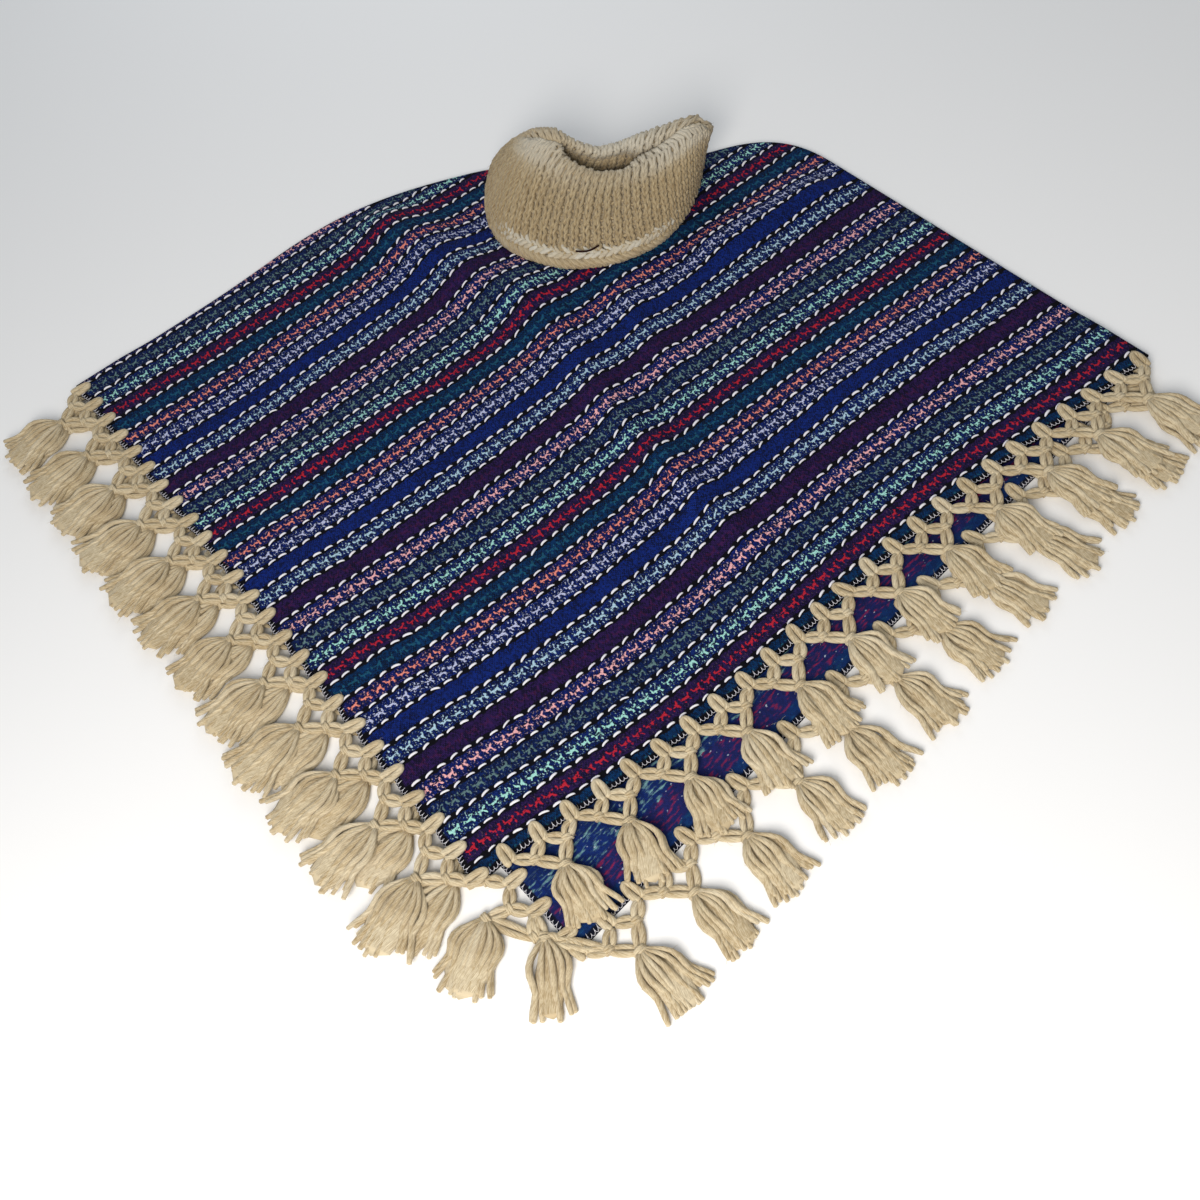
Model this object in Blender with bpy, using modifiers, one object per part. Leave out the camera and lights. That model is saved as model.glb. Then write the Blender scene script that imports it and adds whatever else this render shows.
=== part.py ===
"""A wool poncho laid out flat: two woven squares, a folded knit collar and four knotted fringes.

Metres, +Z up. Cloth coordinates (u, v) run along the front's two hems from their shared corner,
so both fringed hems meet at (0, 0) and the neck is cut across the far corner of the square.
"""
import math

import bmesh
import bpy
from mathutils import Vector
from mathutils.geometry import delaunay_2d_cdt

# Woven cloth
SIDE = 0.85                 # side of the front square
CLOTH = 0.0024              # thickness of the heavy wool weave
GAP = 0.0003                # clearance between pieces that touch
BACK_CORNER = (0.028, -0.107)   # where the back's fringed corner lies, below the front's
GRID_STEP = 0.0425          # spacing of the front's inner points
EDGE_STEP = 0.034           # spacing of points along a panel's edge

# Collar, a knit tube folded over once, flattened from front to back
COLLAR_WALL = 0.009         # two knit layers
COLLAR_RISE = 0.078         # height of the fold above the floor
RIGHT_LOBE_RISE = 0.014     # how much higher the right end stands
LEFT_LOBE_RISE = 0.012
WALES = 64                  # knit ribs round the collar
WALE_RELIEF = 0.0008
BAND_SHARE = 0.15           # the plain cast-off band, as a share of the collar's height
# middle and half width, distance of the ends from the hem corner, sag of the middle,
# and the depth in front of and behind the line between the ends
NECK_LOOP = dict(middle=-0.008, wide=0.139, ends=0.935, sag=0.050, front=0.130, back=0.040, square=2.6)
FOLD_LOOP = dict(middle=0.0235, wide=0.1135, ends=0.922, sag=0.052, front=0.0195, back=0.0195, square=2.2)
LEAN_POWER = 1.35           # the collar leans in more towards its fold
SHOULDER_ANGLE = math.radians(35.0)     # where the shoulder lines meet the collar, behind its ends
# where along a shoulder line it starts to curve in, and how late it does so
LEFT_SHOULDER = dict(start=0.36, power=2.2)
RIGHT_SHOULDER = dict(start=0.45, power=3.3)
COLLAR_SEAT = 0.0008        # clearance between the collar and the humped front
# past the shoulder the collar steps down to the back panel between these angles
STEP_DOWN = (math.radians(44.0), math.radians(58.0))

# Fringe: hooks over the hem, a net of pinched links, and a tassel under each diamond
TAB_HALF = 0.0042
TAB_REACH = 0.0095          # how far a hook reaches onto the cloth
SHOULDER_HALF = 0.0062
SHOULDER_OUT = 0.003
CROTCH_OUT = 0.0125
APEX_OUT = 0.0095
KNOT_OUT = 0.019
KNOT_HALF = 0.0055
DIAMOND_HALF = 0.0072
DIAMOND_TOP = 0.0115
DIAMOND_FOOT = 0.0305
HEAD_OUT = 0.035
HEAD_HALF = 0.0085
NECK_OUT = 0.044
NECK_HALF = 0.0065
LOCKS = 5                   # locks in each tassel
LOCK_LENGTH = 0.062
LOCK_HALF = 0.0038
LOCK_SPREAD = math.radians(12.0)    # angle between neighbouring locks
LOCK_SPLIT = 0.4            # share of its length where a lock parts from the next
DROP_START = 0.0125         # the net stays level to here, then comes down to what it lies on
DROP_END = 0.026

# Levels of the stack at the hems, from the floor up
BACK_TAB_LOW = CLOTH + GAP
BACK_TAB_TOP = BACK_TAB_LOW + 0.002
BACK_NET_LOW = 0.0005
BACK_NET_TOP = 0.005
FRONT_LOW = CLOTH + GAP
FRONT_HEM_LOW = BACK_TAB_TOP + GAP
FRONT_TAB_LOW = FRONT_HEM_LOW + CLOTH + GAP
FRONT_TAB_TOP = FRONT_TAB_LOW + 0.0032
FRONT_NET_LOW = BACK_NET_TOP + GAP
FRONT_NET_TOP = FRONT_NET_LOW + 0.0055
HEM_FLAT = 0.055            # width of the level strip along the front's hems
HEM_EASE = 0.11             # beyond this the front lies on the back

# Soft folds of the front: start, end, height and half width
FOLDS = (
    dict(start=(0.405, 0.86), end=(0.455, 0.50), height=0.020, half=0.042),
    dict(start=(0.470, 0.60), end=(0.420, 0.33), height=0.010, half=0.030),
    dict(start=(0.430, 0.40), end=(0.405, 0.07), height=0.012, half=0.021),
    dict(start=(0.620, 0.46), end=(0.860, 0.43), height=0.013, half=0.030),
    dict(start=(0.545, 0.50), end=(0.500, 0.31), height=0.008, half=0.024),
    dict(start=(0.060, 0.56), end=(0.330, 0.50), height=0.006, half=0.030),
    dict(start=(0.560, 0.20), end=(0.780, 0.14), height=0.005, half=0.034),
)
NECK_HUMP = 0.010           # how far the collar pulls the front up
NECK_HUMP_REACH = 0.070
EDGE_EASE = 0.05            # folds die out this far from an edge

# The four fringes: where the hem runs, the first and last hook's distance from its ends, and
# each tassel's lean along the hem in degrees
FRINGES = (
    dict(name="fringe_front_left", start=(0.0, SIDE), end=(0.0, 0.0), side="front",
         inset=(0.014, 0.004), lean=(6, 4, 2, 0, 3, 6, 8, 6, 3, 5, 8, 24)),
    dict(name="fringe_front_right", start=(0.0, 0.0), end=(SIDE, 0.0), side="front",
         inset=(0.034, 0.014), lean=(-12, -17, -8, -6, 0, 4, 4, 0, 4, 8, 8, 6)),
    dict(name="fringe_back_left", start=(0.0, SIDE), end=BACK_CORNER, side="back",
         inset=(0.018, 0.018), lean=(-3, 0, 3, 6, 4, 0, -3, 0, 4, 7, 9, 12, 26)),
    dict(name="fringe_back_right", start=BACK_CORNER, end=(SIDE, 0.0), side="back",
         inset=(0.002, 0.018), lean=(-4, -2, -7, -3, -5, 0, 4, 8, 9, 7, 4, 2)),
)

COLLECTION = "wool_poncho"
HALF_ROOT = math.sqrt(0.5)


def plan(u, v):
    """Cloth coordinates to the floor plane, with the front's fringed corner at (0, 0)."""
    return Vector(((u - v) * HALF_ROOT, (u + v) * HALF_ROOT))


def cloth(x, y):
    """The floor plane back to cloth coordinates."""
    return (x + y) * HALF_ROOT, (y - x) * HALF_ROOT


def ease(value, low, high):
    """Smooth step from 0 at low to 1 at high."""
    share = min(1.0, max(0.0, (value - low) / (high - low)))
    return share * share * (3.0 - 2.0 * share)


def material(name, color, roughness):
    """A plain wool material."""
    made = bpy.data.materials.new(name)
    made.use_nodes = True
    shader = made.node_tree.nodes["Principled BSDF"]
    shader.inputs["Base Color"].default_value = (*color, 1.0)
    shader.inputs["Roughness"].default_value = roughness
    shader.inputs["Metallic"].default_value = 0.0
    return made


def collar_loop(angle, inset, rise):
    """A point of the collar seen from above; rise runs from 0 at the neck to 1 at the fold."""
    def blend(key):
        return NECK_LOOP[key] + (FOLD_LOOP[key] - NECK_LOOP[key]) * rise
    wide = blend("wide")
    power = 2.0 / blend("square")
    deep = blend("back" if math.sin(angle) > 0.0 else "front") - inset
    across = math.copysign(abs(math.cos(angle)) ** power, math.cos(angle)) * (wide - inset)
    back = math.copysign(abs(math.sin(angle)) ** power, math.sin(angle)) * deep
    spine = blend("ends") - blend("sag") * (1.0 - (across / wide) ** 2)
    return Vector((blend("middle") + across, spine + back))


def shoulder_tip(left):
    """Where a shoulder line meets the collar: distance from its hem, and how far in it is."""
    angle = math.pi - SHOULDER_ANGLE if left else SHOULDER_ANGLE
    u, v = cloth(*collar_loop(angle, 0.0, 0.0))
    return (u, SIDE - v) if left else (v, SIDE - u)


def shoulder_drop(distance, left):
    """How far a shoulder line has curved in, at a distance along it from the hem."""
    reach, drop = shoulder_tip(left)
    curve = LEFT_SHOULDER if left else RIGHT_SHOULDER
    share = min(1.0, max(0.0, distance - curve["start"]) / (reach - curve["start"]))
    return drop * share ** curve["power"]


def edge_distance(u, v):
    """Distance from a point of the front to its nearest edge, or 0 behind the collar."""
    x, y = plan(u, v)
    if y > NECK_LOOP["ends"] and abs(x - NECK_LOOP["middle"]) < NECK_LOOP["wide"]:
        return 0.0
    return min(u, v, SIDE - shoulder_drop(v, False) - u, SIDE - shoulder_drop(u, True) - v)


def neck_distance(u, v):
    """Rough distance from a point of the front to the collar's outer edge."""
    x, y = plan(u, v)
    across = (x - NECK_LOOP["middle"]) / NECK_LOOP["wide"]
    spine = NECK_LOOP["ends"] - NECK_LOOP["sag"] * (1.0 - min(1.0, across ** 2))
    back = (y - spine) / NECK_LOOP["back" if y > spine else "front"]
    power = NECK_LOOP["square"]
    radius = (abs(across) ** power + abs(back) ** power) ** (1.0 / power)
    return (radius - 1.0) * NECK_LOOP["front"]


def fold_height(u, v):
    """Height that the soft folds add at a point of the front."""
    total = 0.0
    here = Vector((u, v))
    for fold in FOLDS:
        start, end = Vector(fold["start"]), Vector(fold["end"])
        along = end - start
        share = (here - start).dot(along) / along.length_squared
        off = abs((here - start).cross(along)) / along.length
        window = ease(share, -0.05, 0.25) * (1.0 - ease(share, 0.70, 1.05))
        total += fold["height"] * window * math.exp(-(off / fold["half"]) ** 2)
    return total


def front_low(u, v):
    """Height of the underside of the front panel."""
    hem = min(u, v)
    level = FRONT_HEM_LOW + (FRONT_LOW - FRONT_HEM_LOW) * ease(hem, HEM_FLAT, HEM_EASE)
    inner = ease(edge_distance(u, v), 0.0, EDGE_EASE) * ease(hem, HEM_FLAT, HEM_EASE)
    across = abs(plan(u, v).x - NECK_LOOP["middle"]) / NECK_LOOP["wide"]
    middle = 1.0 - ease(across, 0.3, 0.95)
    hump = NECK_HUMP * middle * math.exp(-(max(0.0, neck_distance(u, v)) / NECK_HUMP_REACH) ** 2)
    return level + fold_height(u, v) * inner + hump


def spaced(start, end, step):
    """Points from start up to but not including end, evenly spaced."""
    start, end = Vector(start), Vector(end)
    count = max(1, round((end - start).length / step))
    return [start.lerp(end, index / count) for index in range(count)]


def shoulder_line(left):
    """A shoulder from the end of its hem to just before the collar, in cloth coordinates."""
    reach, _ = shoulder_tip(left)
    count = round(reach / EDGE_STEP)
    runs = [reach * i / count for i in range(count)]
    line = [Vector((run, SIDE - shoulder_drop(run, left))) for run in runs]
    return line if left else [point.yx for point in line]


def neck_arc(low_angle, high_angle, inset):
    """Points of the neckline between two angles, in cloth coordinates."""
    count = WALES // 2
    angles = [low_angle + (high_angle - low_angle) * i / count for i in range(count + 1)]
    return [Vector(cloth(*collar_loop(angle, inset, 0.0))) for angle in angles]


def panel_outline(corner, inset, neck_angles):
    """Outline of a panel, anticlockwise: hems, right shoulder, neckline, left shoulder."""
    hems = spaced((0.0, SIDE), corner, EDGE_STEP) + spaced(corner, (SIDE, 0.0), EDGE_STEP)
    right, left = shoulder_line(False), shoulder_line(True)
    neck = neck_arc(*neck_angles, inset)
    if inset:
        outer = neck_arc(*neck_angles, 0.0)
        neck = [outer[0], *neck, outer[-1]]
    return hems[1:] + right + neck + list(reversed(left))


def keep_apart(points, extra, clearance):
    """Add the extra points that keep a clearance to all the others."""
    for point in extra:
        if all((point - other).length > clearance for other in points):
            points.append(point)


def front_points():
    """Outline of the front and the points inside it, finer along folds and round the neck."""
    ends = (SHOULDER_ANGLE, -math.pi - SHOULDER_ANGLE)
    outline = panel_outline((0.0, 0.0), COLLAR_WALL, ends)
    points = list(outline)
    for ring in (0.0, -0.012, -0.032, -0.06):
        arc = neck_arc(*ends, ring)[::1 if ring == 0.0 else 2]
        keep_apart(points, [p for p in arc if edge_distance(*p) > 0.006], 0.0035)
    for fold in FOLDS:
        start, end = Vector(fold["start"]), Vector(fold["end"])
        side = (end - start).orthogonal().normalized() * fold["half"]
        for share in (0.0, -0.75, 0.75, -1.6, 1.6):
            line = spaced(start + side * share, end + side * share, 0.026)
            inside = [p for p in line if edge_distance(*p) > 0.012 and neck_distance(*p) > 0.012]
            keep_apart(points, inside, 0.013)
    steps = round(SIDE / GRID_STEP)
    grid = [Vector((SIDE * i / steps, SIDE * j / steps))
            for i in range(1, steps) for j in range(1, steps)]
    inside = [p for p in grid if edge_distance(*p) > 0.014 and neck_distance(*p) > 0.014]
    keep_apart(points, inside, 0.021)
    return points, len(outline)


def in_collection(thing, collection, finish):
    """Give an object its material and its collection."""
    thing.data.materials.clear()
    thing.data.materials.append(finish)
    collection.objects.link(thing)
    return thing


def make_front(collection, finish):
    """The front panel: a draped surface with the cloth's thickness."""
    points, count = front_points()
    flat, _, faces, *_ = delaunay_2d_cdt(points, [], [list(range(count))], 1, 1e-6)
    net = bmesh.new()
    for u, v in flat:
        x, y = plan(u, v)
        net.verts.new((x, y, front_low(u, v)))
    net.verts.ensure_lookup_table()
    for face in faces:
        made = net.faces.new([net.verts[index] for index in face])
        made.normal_update()
        if made.normal.z < 0.0:
            made.normal_flip()
    mesh = bpy.data.meshes.new("front_panel")
    net.to_mesh(mesh)
    net.free()
    panel = bpy.data.objects.new("front_panel", mesh)
    solid = panel.modifiers.new("cloth", "SOLIDIFY")
    solid.thickness = CLOTH
    solid.offset = 1.0
    mesh.shade_smooth()
    return in_collection(panel, collection, finish)


def outline_mesh(name, outline, holes):
    """A flat outline with holes, one unit thick, as a welded mesh."""
    curve = bpy.data.curves.new(name, "CURVE")
    curve.dimensions = "2D"
    curve.fill_mode = "BOTH"
    curve.extrude = 0.5
    for loop in (outline, *holes):
        spline = curve.splines.new("POLY")
        spline.points.add(len(loop) - 1)
        spline.use_cyclic_u = True
        for point, place in zip(spline.points, loop):
            point.co = (place[0], place[1], 0.0, 1.0)
    guide = bpy.data.objects.new(name + "_outline", curve)
    bpy.context.scene.collection.objects.link(guide)
    graph = bpy.context.evaluated_depsgraph_get()
    mesh = bpy.data.meshes.new_from_object(guide.evaluated_get(graph))
    bpy.data.objects.remove(guide)
    net = bmesh.new()
    net.from_mesh(mesh)
    bmesh.ops.remove_doubles(net, verts=net.verts, dist=0.00002)
    return net, mesh


def finish_outline(name, net, mesh, place, collection, finish):
    """Move each point of a flat outline to its place, and make the object."""
    for vert in net.verts:
        vert.co = place(vert.co)
    bmesh.ops.recalc_face_normals(net, faces=net.faces)
    if net.calc_volume(signed=True) < 0.0:
        bmesh.ops.reverse_faces(net, faces=net.faces)
    net.to_mesh(mesh)
    net.free()
    mesh.name = name
    return in_collection(bpy.data.objects.new(name, mesh), collection, finish)


def make_back(collection, finish):
    """The back panel, flat on the floor."""
    ends = (SHOULDER_ANGLE, math.pi - SHOULDER_ANGLE)
    outline = [plan(*point) for point in panel_outline(BACK_CORNER, 0.0, ends)]
    net, mesh = outline_mesh("back_panel", outline, [])

    def place(point):
        return Vector((point.x, point.y, CLOTH if point.z > 0.0 else 0.0))
    return finish_outline("back_panel", net, mesh, place, collection, finish)


def collar_section():
    """The collar's section: share of the wall from the outside, share of the height, ribbed."""
    return (
        (0.0, 0.0, False), (0.0, BAND_SHARE, False), (0.0, BAND_SHARE + 0.03, True),
        (0.0, 0.50, True), (0.0, 0.84, True), (0.14, 0.96, False), (0.5, 1.0, False),
        (0.86, 0.96, False), (1.0, 0.78, False), (1.0, 0.40, False), (1.0, 0.0, False),
        (0.55, 0.0, False), (0.5, 0.03, False), (0.45, 0.0, False),
    )


def collar_base(angle, inset):
    """Height of the collar's lower edge: on the front panel in front, on the back one behind."""
    u, v = cloth(*collar_loop(angle, inset, 0.0))
    on_front = max(front_low(u, v), FRONT_LOW) + CLOTH + COLLAR_SEAT
    behind = ease(math.sin(angle), *[math.sin(turn) for turn in STEP_DOWN])
    return on_front + (CLOTH + GAP - on_front) * behind


def make_collar(collection, finish):
    """The folded knit collar, a ring lofted through its sections."""
    net = bmesh.new()
    steps = 2 * WALES
    rings = []
    for step in range(steps):
        angle = 2.0 * math.pi * step / steps
        side = math.cos(angle)
        lobe = RIGHT_LOBE_RISE if side > 0.0 else LEFT_LOBE_RISE
        top = COLLAR_RISE + lobe * side * side
        ring = []
        for wall, height, ribbed in collar_section():
            relief = WALE_RELIEF * (1 if step % 2 else -1) if ribbed else 0.0
            inset = wall * COLLAR_WALL - relief
            place = collar_loop(angle, inset, height ** LEAN_POWER)
            low = collar_base(angle, wall * COLLAR_WALL)
            ring.append(net.verts.new((*place, low + (top - low) * height)))
        rings.append(ring)
    for ring, following in zip(rings, rings[1:] + rings[:1]):
        for index, vert in enumerate(ring):
            after = (index + 1) % len(ring)
            net.faces.new((vert, ring[after], following[after], following[index]))
    bmesh.ops.recalc_face_normals(net, faces=net.faces)
    mesh = bpy.data.meshes.new("collar")
    net.to_mesh(mesh)
    net.free()
    mesh.shade_smooth()
    return in_collection(bpy.data.objects.new("collar", mesh), collection, finish)


def hem_side(pitch, tassels):
    """The fringe's edge along the hem: hooks on the cloth with notches between them."""
    line = [(-SHOULDER_HALF, SHOULDER_OUT)]
    for hook in range(2 * tassels + 1):
        s = hook * pitch / 2
        line += [(s - TAB_HALF, -TAB_REACH), (s + TAB_HALF, -TAB_REACH)]
        line.append((s + SHOULDER_HALF, SHOULDER_OUT))
        if hook < 2 * tassels:
            line += [(s + pitch / 4, CROTCH_OUT), (s + pitch / 2 - SHOULDER_HALF, SHOULDER_OUT)]
    return line


def tassel(center, lean):
    """Outline of one tassel, from its right side round its locks to its left side."""
    line = [(center + HEAD_HALF, HEAD_OUT), (center + NECK_HALF, NECK_OUT)]
    middle = (LOCKS - 1) / 2
    for lock in reversed(range(LOCKS)):
        angle = lean + LOCK_SPREAD * (lock - middle)
        length = LOCK_LENGTH * (1.0 - 0.05 * abs(lock - middle))
        tip_s = center + length * math.sin(angle)
        tip_o = NECK_OUT + length * math.cos(angle)
        for side in (1, -1):
            line.append((tip_s + side * LOCK_HALF * math.cos(angle),
                         tip_o - side * LOCK_HALF * math.sin(angle)))
        if lock:
            between = angle - LOCK_SPREAD / 2
            reach = LOCK_SPLIT * LOCK_LENGTH
            line.append((center + reach * math.sin(between), NECK_OUT + reach * math.cos(between)))
    return line + [(center - NECK_HALF, NECK_OUT), (center - HEAD_HALF, HEAD_OUT)]


def fringe_outline(pitch, leans):
    """Outline of a whole fringe along (s, out), and the diamond gaps in its net."""
    outline = hem_side(pitch, len(leans))
    holes = []
    for unit in reversed(range(len(leans))):
        center = (unit + 0.5) * pitch
        right, left = center + pitch / 4, center - pitch / 4
        outline.append((center + pitch / 2, APEX_OUT))
        outline += [(right + KNOT_HALF, KNOT_OUT), (right + 0.3 * KNOT_HALF, KNOT_OUT + KNOT_HALF)]
        outline += tassel(center, math.radians(leans[unit]))
        outline += [(left - 0.3 * KNOT_HALF, KNOT_OUT + KNOT_HALF), (left - KNOT_HALF, KNOT_OUT)]
        holes.append([(center, DIAMOND_TOP), (center + DIAMOND_HALF, KNOT_OUT),
                      (center, DIAMOND_FOOT), (center - DIAMOND_HALF, KNOT_OUT)])
    outline.append((0.0, APEX_OUT))
    return outline, holes


def make_fringe(spec, collection, finish):
    """One knotted fringe, laid over the hem and down onto what is under it."""
    start, end = plan(*spec["start"]), plan(*spec["end"])
    along = (end - start).normalized()
    outward = Vector((along.y, -along.x))
    pitch = ((end - start).length - sum(spec["inset"])) / len(spec["lean"])
    outline, holes = fringe_outline(pitch, spec["lean"])
    net, mesh = outline_mesh(spec["name"], outline, holes)
    if spec["side"] == "front":
        lows, tops = (FRONT_TAB_LOW, FRONT_NET_LOW), (FRONT_TAB_TOP, FRONT_NET_TOP)
    else:
        lows, tops = (BACK_TAB_LOW, BACK_NET_LOW), (BACK_TAB_TOP, BACK_NET_TOP)

    def place(point):
        down = ease(point.y, DROP_START, DROP_END)
        near, far = tops if point.z > 0.0 else lows
        floor_place = start + along * (spec["inset"][0] + point.x) + outward * point.y
        return Vector((*floor_place, near + (far - near) * down))
    return finish_outline(spec["name"], net, mesh, place, collection, finish)


def centre(pieces):
    """Move all pieces so that the middle of the poncho's footprint is the origin."""
    graph = bpy.context.evaluated_depsgraph_get()
    corners = [Vector(corner) for piece in pieces for corner in piece.evaluated_get(graph).bound_box]
    middle_x = (min(c.x for c in corners) + max(c.x for c in corners)) / 2
    middle_y = (min(c.y for c in corners) + max(c.y for c in corners)) / 2
    for piece in pieces:
        piece.location = (-middle_x, -middle_y, 0.0)


def main():
    for thing in list(bpy.data.objects):
        bpy.data.objects.remove(thing)
    collection = bpy.data.collections.new(COLLECTION)
    bpy.context.scene.collection.children.link(collection)
    woven = material("striped_weave", (0.02, 0.03, 0.12), 0.95)
    inside = material("striped_weave_back", (0.03, 0.05, 0.14), 0.95)
    knit = material("cream_knit", (0.55, 0.43, 0.26), 0.95)
    pieces = [make_back(collection, inside), make_front(collection, woven)]
    pieces.append(make_collar(collection, knit))
    for spec in FRINGES:
        yarn = material("cream_yarn_" + spec["name"], (0.62, 0.50, 0.32), 0.95)
        pieces.append(make_fringe(spec, collection, yarn))
    bpy.context.view_layer.update()
    centre(pieces)


main()
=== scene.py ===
# %% [markdown]
# # A striped wool poncho, laid flat
# The poncho is two woven squares with a knit collar, and a knotted fringe along its hems.
# This lesson dresses its plain solids: woven cloth, knitting, and yarn knots and tassels.
# Everything is in metres, in the frame that the solids give.

# %% Load the solids as the frame
import math
import bpy
import numpy as np
from mathutils import Matrix, Vector


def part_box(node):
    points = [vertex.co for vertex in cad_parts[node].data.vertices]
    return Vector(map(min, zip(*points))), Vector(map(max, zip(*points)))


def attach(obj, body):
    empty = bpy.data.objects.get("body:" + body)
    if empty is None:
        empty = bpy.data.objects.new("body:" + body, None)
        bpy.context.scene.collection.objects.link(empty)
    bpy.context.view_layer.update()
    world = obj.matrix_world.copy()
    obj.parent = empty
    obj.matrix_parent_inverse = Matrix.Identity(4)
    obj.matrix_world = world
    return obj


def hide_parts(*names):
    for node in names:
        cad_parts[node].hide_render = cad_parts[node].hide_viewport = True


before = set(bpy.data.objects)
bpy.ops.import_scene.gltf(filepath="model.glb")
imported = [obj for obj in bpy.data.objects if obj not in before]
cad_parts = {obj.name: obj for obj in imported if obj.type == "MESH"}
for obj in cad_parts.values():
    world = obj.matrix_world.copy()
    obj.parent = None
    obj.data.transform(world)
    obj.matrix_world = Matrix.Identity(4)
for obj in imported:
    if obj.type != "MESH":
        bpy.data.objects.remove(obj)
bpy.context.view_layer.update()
draw = np.random.default_rng(11)
print("solids:", sorted(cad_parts))

# %% [markdown]
# ## Sizes
# The cloth has its own coordinates: u and v run along the front's two hems from their shared
# corner, and the stripes lie along u. The same numbers made the solids, so every piece here
# can be placed by the same formulas, and it then sits where its solid does.

# %% Sizes of the poncho
SIDE = 0.85                 # of each woven square
CLOTH = 0.0024              # thickness of the weave
GAP = 0.0003                # between pieces that touch
BACK_CORNER = (0.028, -0.107)   # u and v of the back's fringed corner
HALF_ROOT = math.sqrt(0.5)
FRONT_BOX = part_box("front_panel")
CORNER = np.array((FRONT_BOX[0][0] + SIDE * HALF_ROOT, FRONT_BOX[0][1]))
BACK_YARN = 0.002           # the back's yarn, pressed flat between the two cloths
FRONT_LOW = CLOTH + GAP
FRONT_HEM_LOW = CLOTH + GAP + BACK_YARN + GAP
HEM_FLAT = 0.055            # how far in from its hem the front rests on that yarn
HEM_EASE = 0.11             # and where it has come down on the back
NET_PITCH = 0.068           # distance between tassels
HOOK_PITCH = NET_PITCH / 2
UP = (0.0, 0.0, 1.0)
print("front hem corner at", CORNER.round(4))


def ease(value, low, high):
    """Smooth step from 0 at low to 1 at high."""
    share = np.clip((value - low) / (high - low), 0.0, 1.0)
    return share * share * (3.0 - 2.0 * share)


def bump(u, v, spot):
    """A soft bump of height 1 round a spot of the cloth."""
    across = ((u - spot["at"][0]) / spot["reach"][0]) ** 2
    return np.exp(-across - ((v - spot["at"][1]) / spot["reach"][1]) ** 2)


# %% [markdown]
# ## Camera
# The camera stands where the photograph was taken from: in front of the fringed corner, a
# little to the right, looking down. A real lens has a position, a direction, a roll and a
# focal length, and those four are all that is set.

# %% Camera at the photograph's angle
CAMERA_PLACE = (0.35848, -0.90288, 1.14234)
CAMERA_AZIMUTH = math.radians(-20.7207)
CAMERA_DOWN = math.radians(53.9198)
CAMERA_ROLL = math.radians(-16.7070)
SENSOR = 36.0               # millimetres
LENS = 1445.38 / 1200.0 * SENSOR    # from a focal length of 1445 of the photograph's 1200 pixels


def in_scene(name, data):
    """An object of some data, in the scene."""
    made = bpy.data.objects.new(name, data)
    bpy.context.scene.collection.objects.link(made)
    return made


def add_camera():
    """The camera, turned by azimuth and tilt, then rolled."""
    level = math.cos(CAMERA_DOWN)
    ahead = Vector((math.sin(CAMERA_AZIMUTH) * level, math.cos(CAMERA_AZIMUTH) * level,
                    -math.sin(CAMERA_DOWN)))
    right = Vector((math.cos(CAMERA_AZIMUTH), -math.sin(CAMERA_AZIMUTH), 0.0))
    up = right.cross(ahead)
    c, s = math.cos(CAMERA_ROLL), math.sin(CAMERA_ROLL)
    turned = Matrix((c * right + s * up, c * up - s * right, -ahead)).transposed()
    lens = bpy.data.cameras.new("photo_camera")
    lens.lens = LENS
    lens.sensor_width = SENSOR
    camera = in_scene("photo_camera", lens)
    camera.matrix_world = Matrix.Translation(CAMERA_PLACE) @ turned.to_4x4()
    bpy.context.scene.camera = camera
    return camera


camera = add_camera()
print("lens", round(LENS, 2), "mm")

# %% [markdown]
# ## Floor and light
# A warm broad lamp stands low in front, so the fringed corner is brightest and the light falls
# off towards the neck. A cool one behind outlines the collar, and an even sky fills the rest.


# %% Floor, lamps and sky
def plain_material(name, color, roughness):
    """A material with one colour, and its shader node."""
    made = bpy.data.materials.new(name)
    made.use_nodes = True
    shader = made.node_tree.nodes["Principled BSDF"]
    shader.inputs["Base Color"].default_value = (*color, 1.0)
    shader.inputs["Roughness"].default_value = roughness
    return made, shader


FLOOR_REACH = 4.0


def add_floor():
    """A wide pale floor."""
    reach = FLOOR_REACH
    corners = [(-reach, -reach, 0.0), (reach, -reach, 0.0), (reach, reach, 0.0), (-reach, reach, 0.0)]
    mesh = bpy.data.meshes.new("floor")
    mesh.from_pydata(corners, [], [(0, 1, 2, 3)])
    made, _ = plain_material("pale_floor", (0.94, 0.94, 0.94), 0.7)
    mesh.materials.append(made)
    in_scene("floor", mesh)


def add_lamp(name, place, aim, size, power, color):
    """A square area lamp that faces its aim."""
    light = bpy.data.lights.new(name, "AREA")
    light.shape = "SQUARE"
    light.size = size
    light.energy = power
    light.color = color
    lamp = in_scene(name, light)
    lamp.location = place
    lamp.rotation_euler = (Vector(aim) - Vector(place)).to_track_quat("-Z", "Y").to_euler()


def set_sky(color, strength):
    """An even pale sky."""
    sky = bpy.data.worlds.new("studio")
    sky.use_nodes = True
    sky.node_tree.nodes["Background"].inputs["Color"].default_value = (*color, 1.0)
    sky.node_tree.nodes["Background"].inputs["Strength"].default_value = strength
    bpy.context.scene.world = sky


add_floor()
add_lamp("front", place=(0.10, -1.58, 1.25), aim=(0.05, -0.25, 0.0), size=0.9, power=36.0,
         color=(1.0, 0.96, 0.91))
add_lamp("behind", place=(-0.5, 1.9, 1.1), aim=(0.0, 0.5, 0.0), size=1.0, power=7.0,
         color=(0.90, 0.95, 1.0))
set_sky(color=(0.92, 0.96, 1.0), strength=0.36)
bpy.context.scene.view_settings.view_transform = "Standard"

# %% [markdown]
# ## Yarn as tubes
# Stitches, knots and tassels are all yarn, so one helper lays many tubes at once. Every tube
# of a batch has the same number of points, which lets numpy work on all of them together and
# keeps a few thousand strands quick. A curve object with a bevel would do for one strand.


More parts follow.
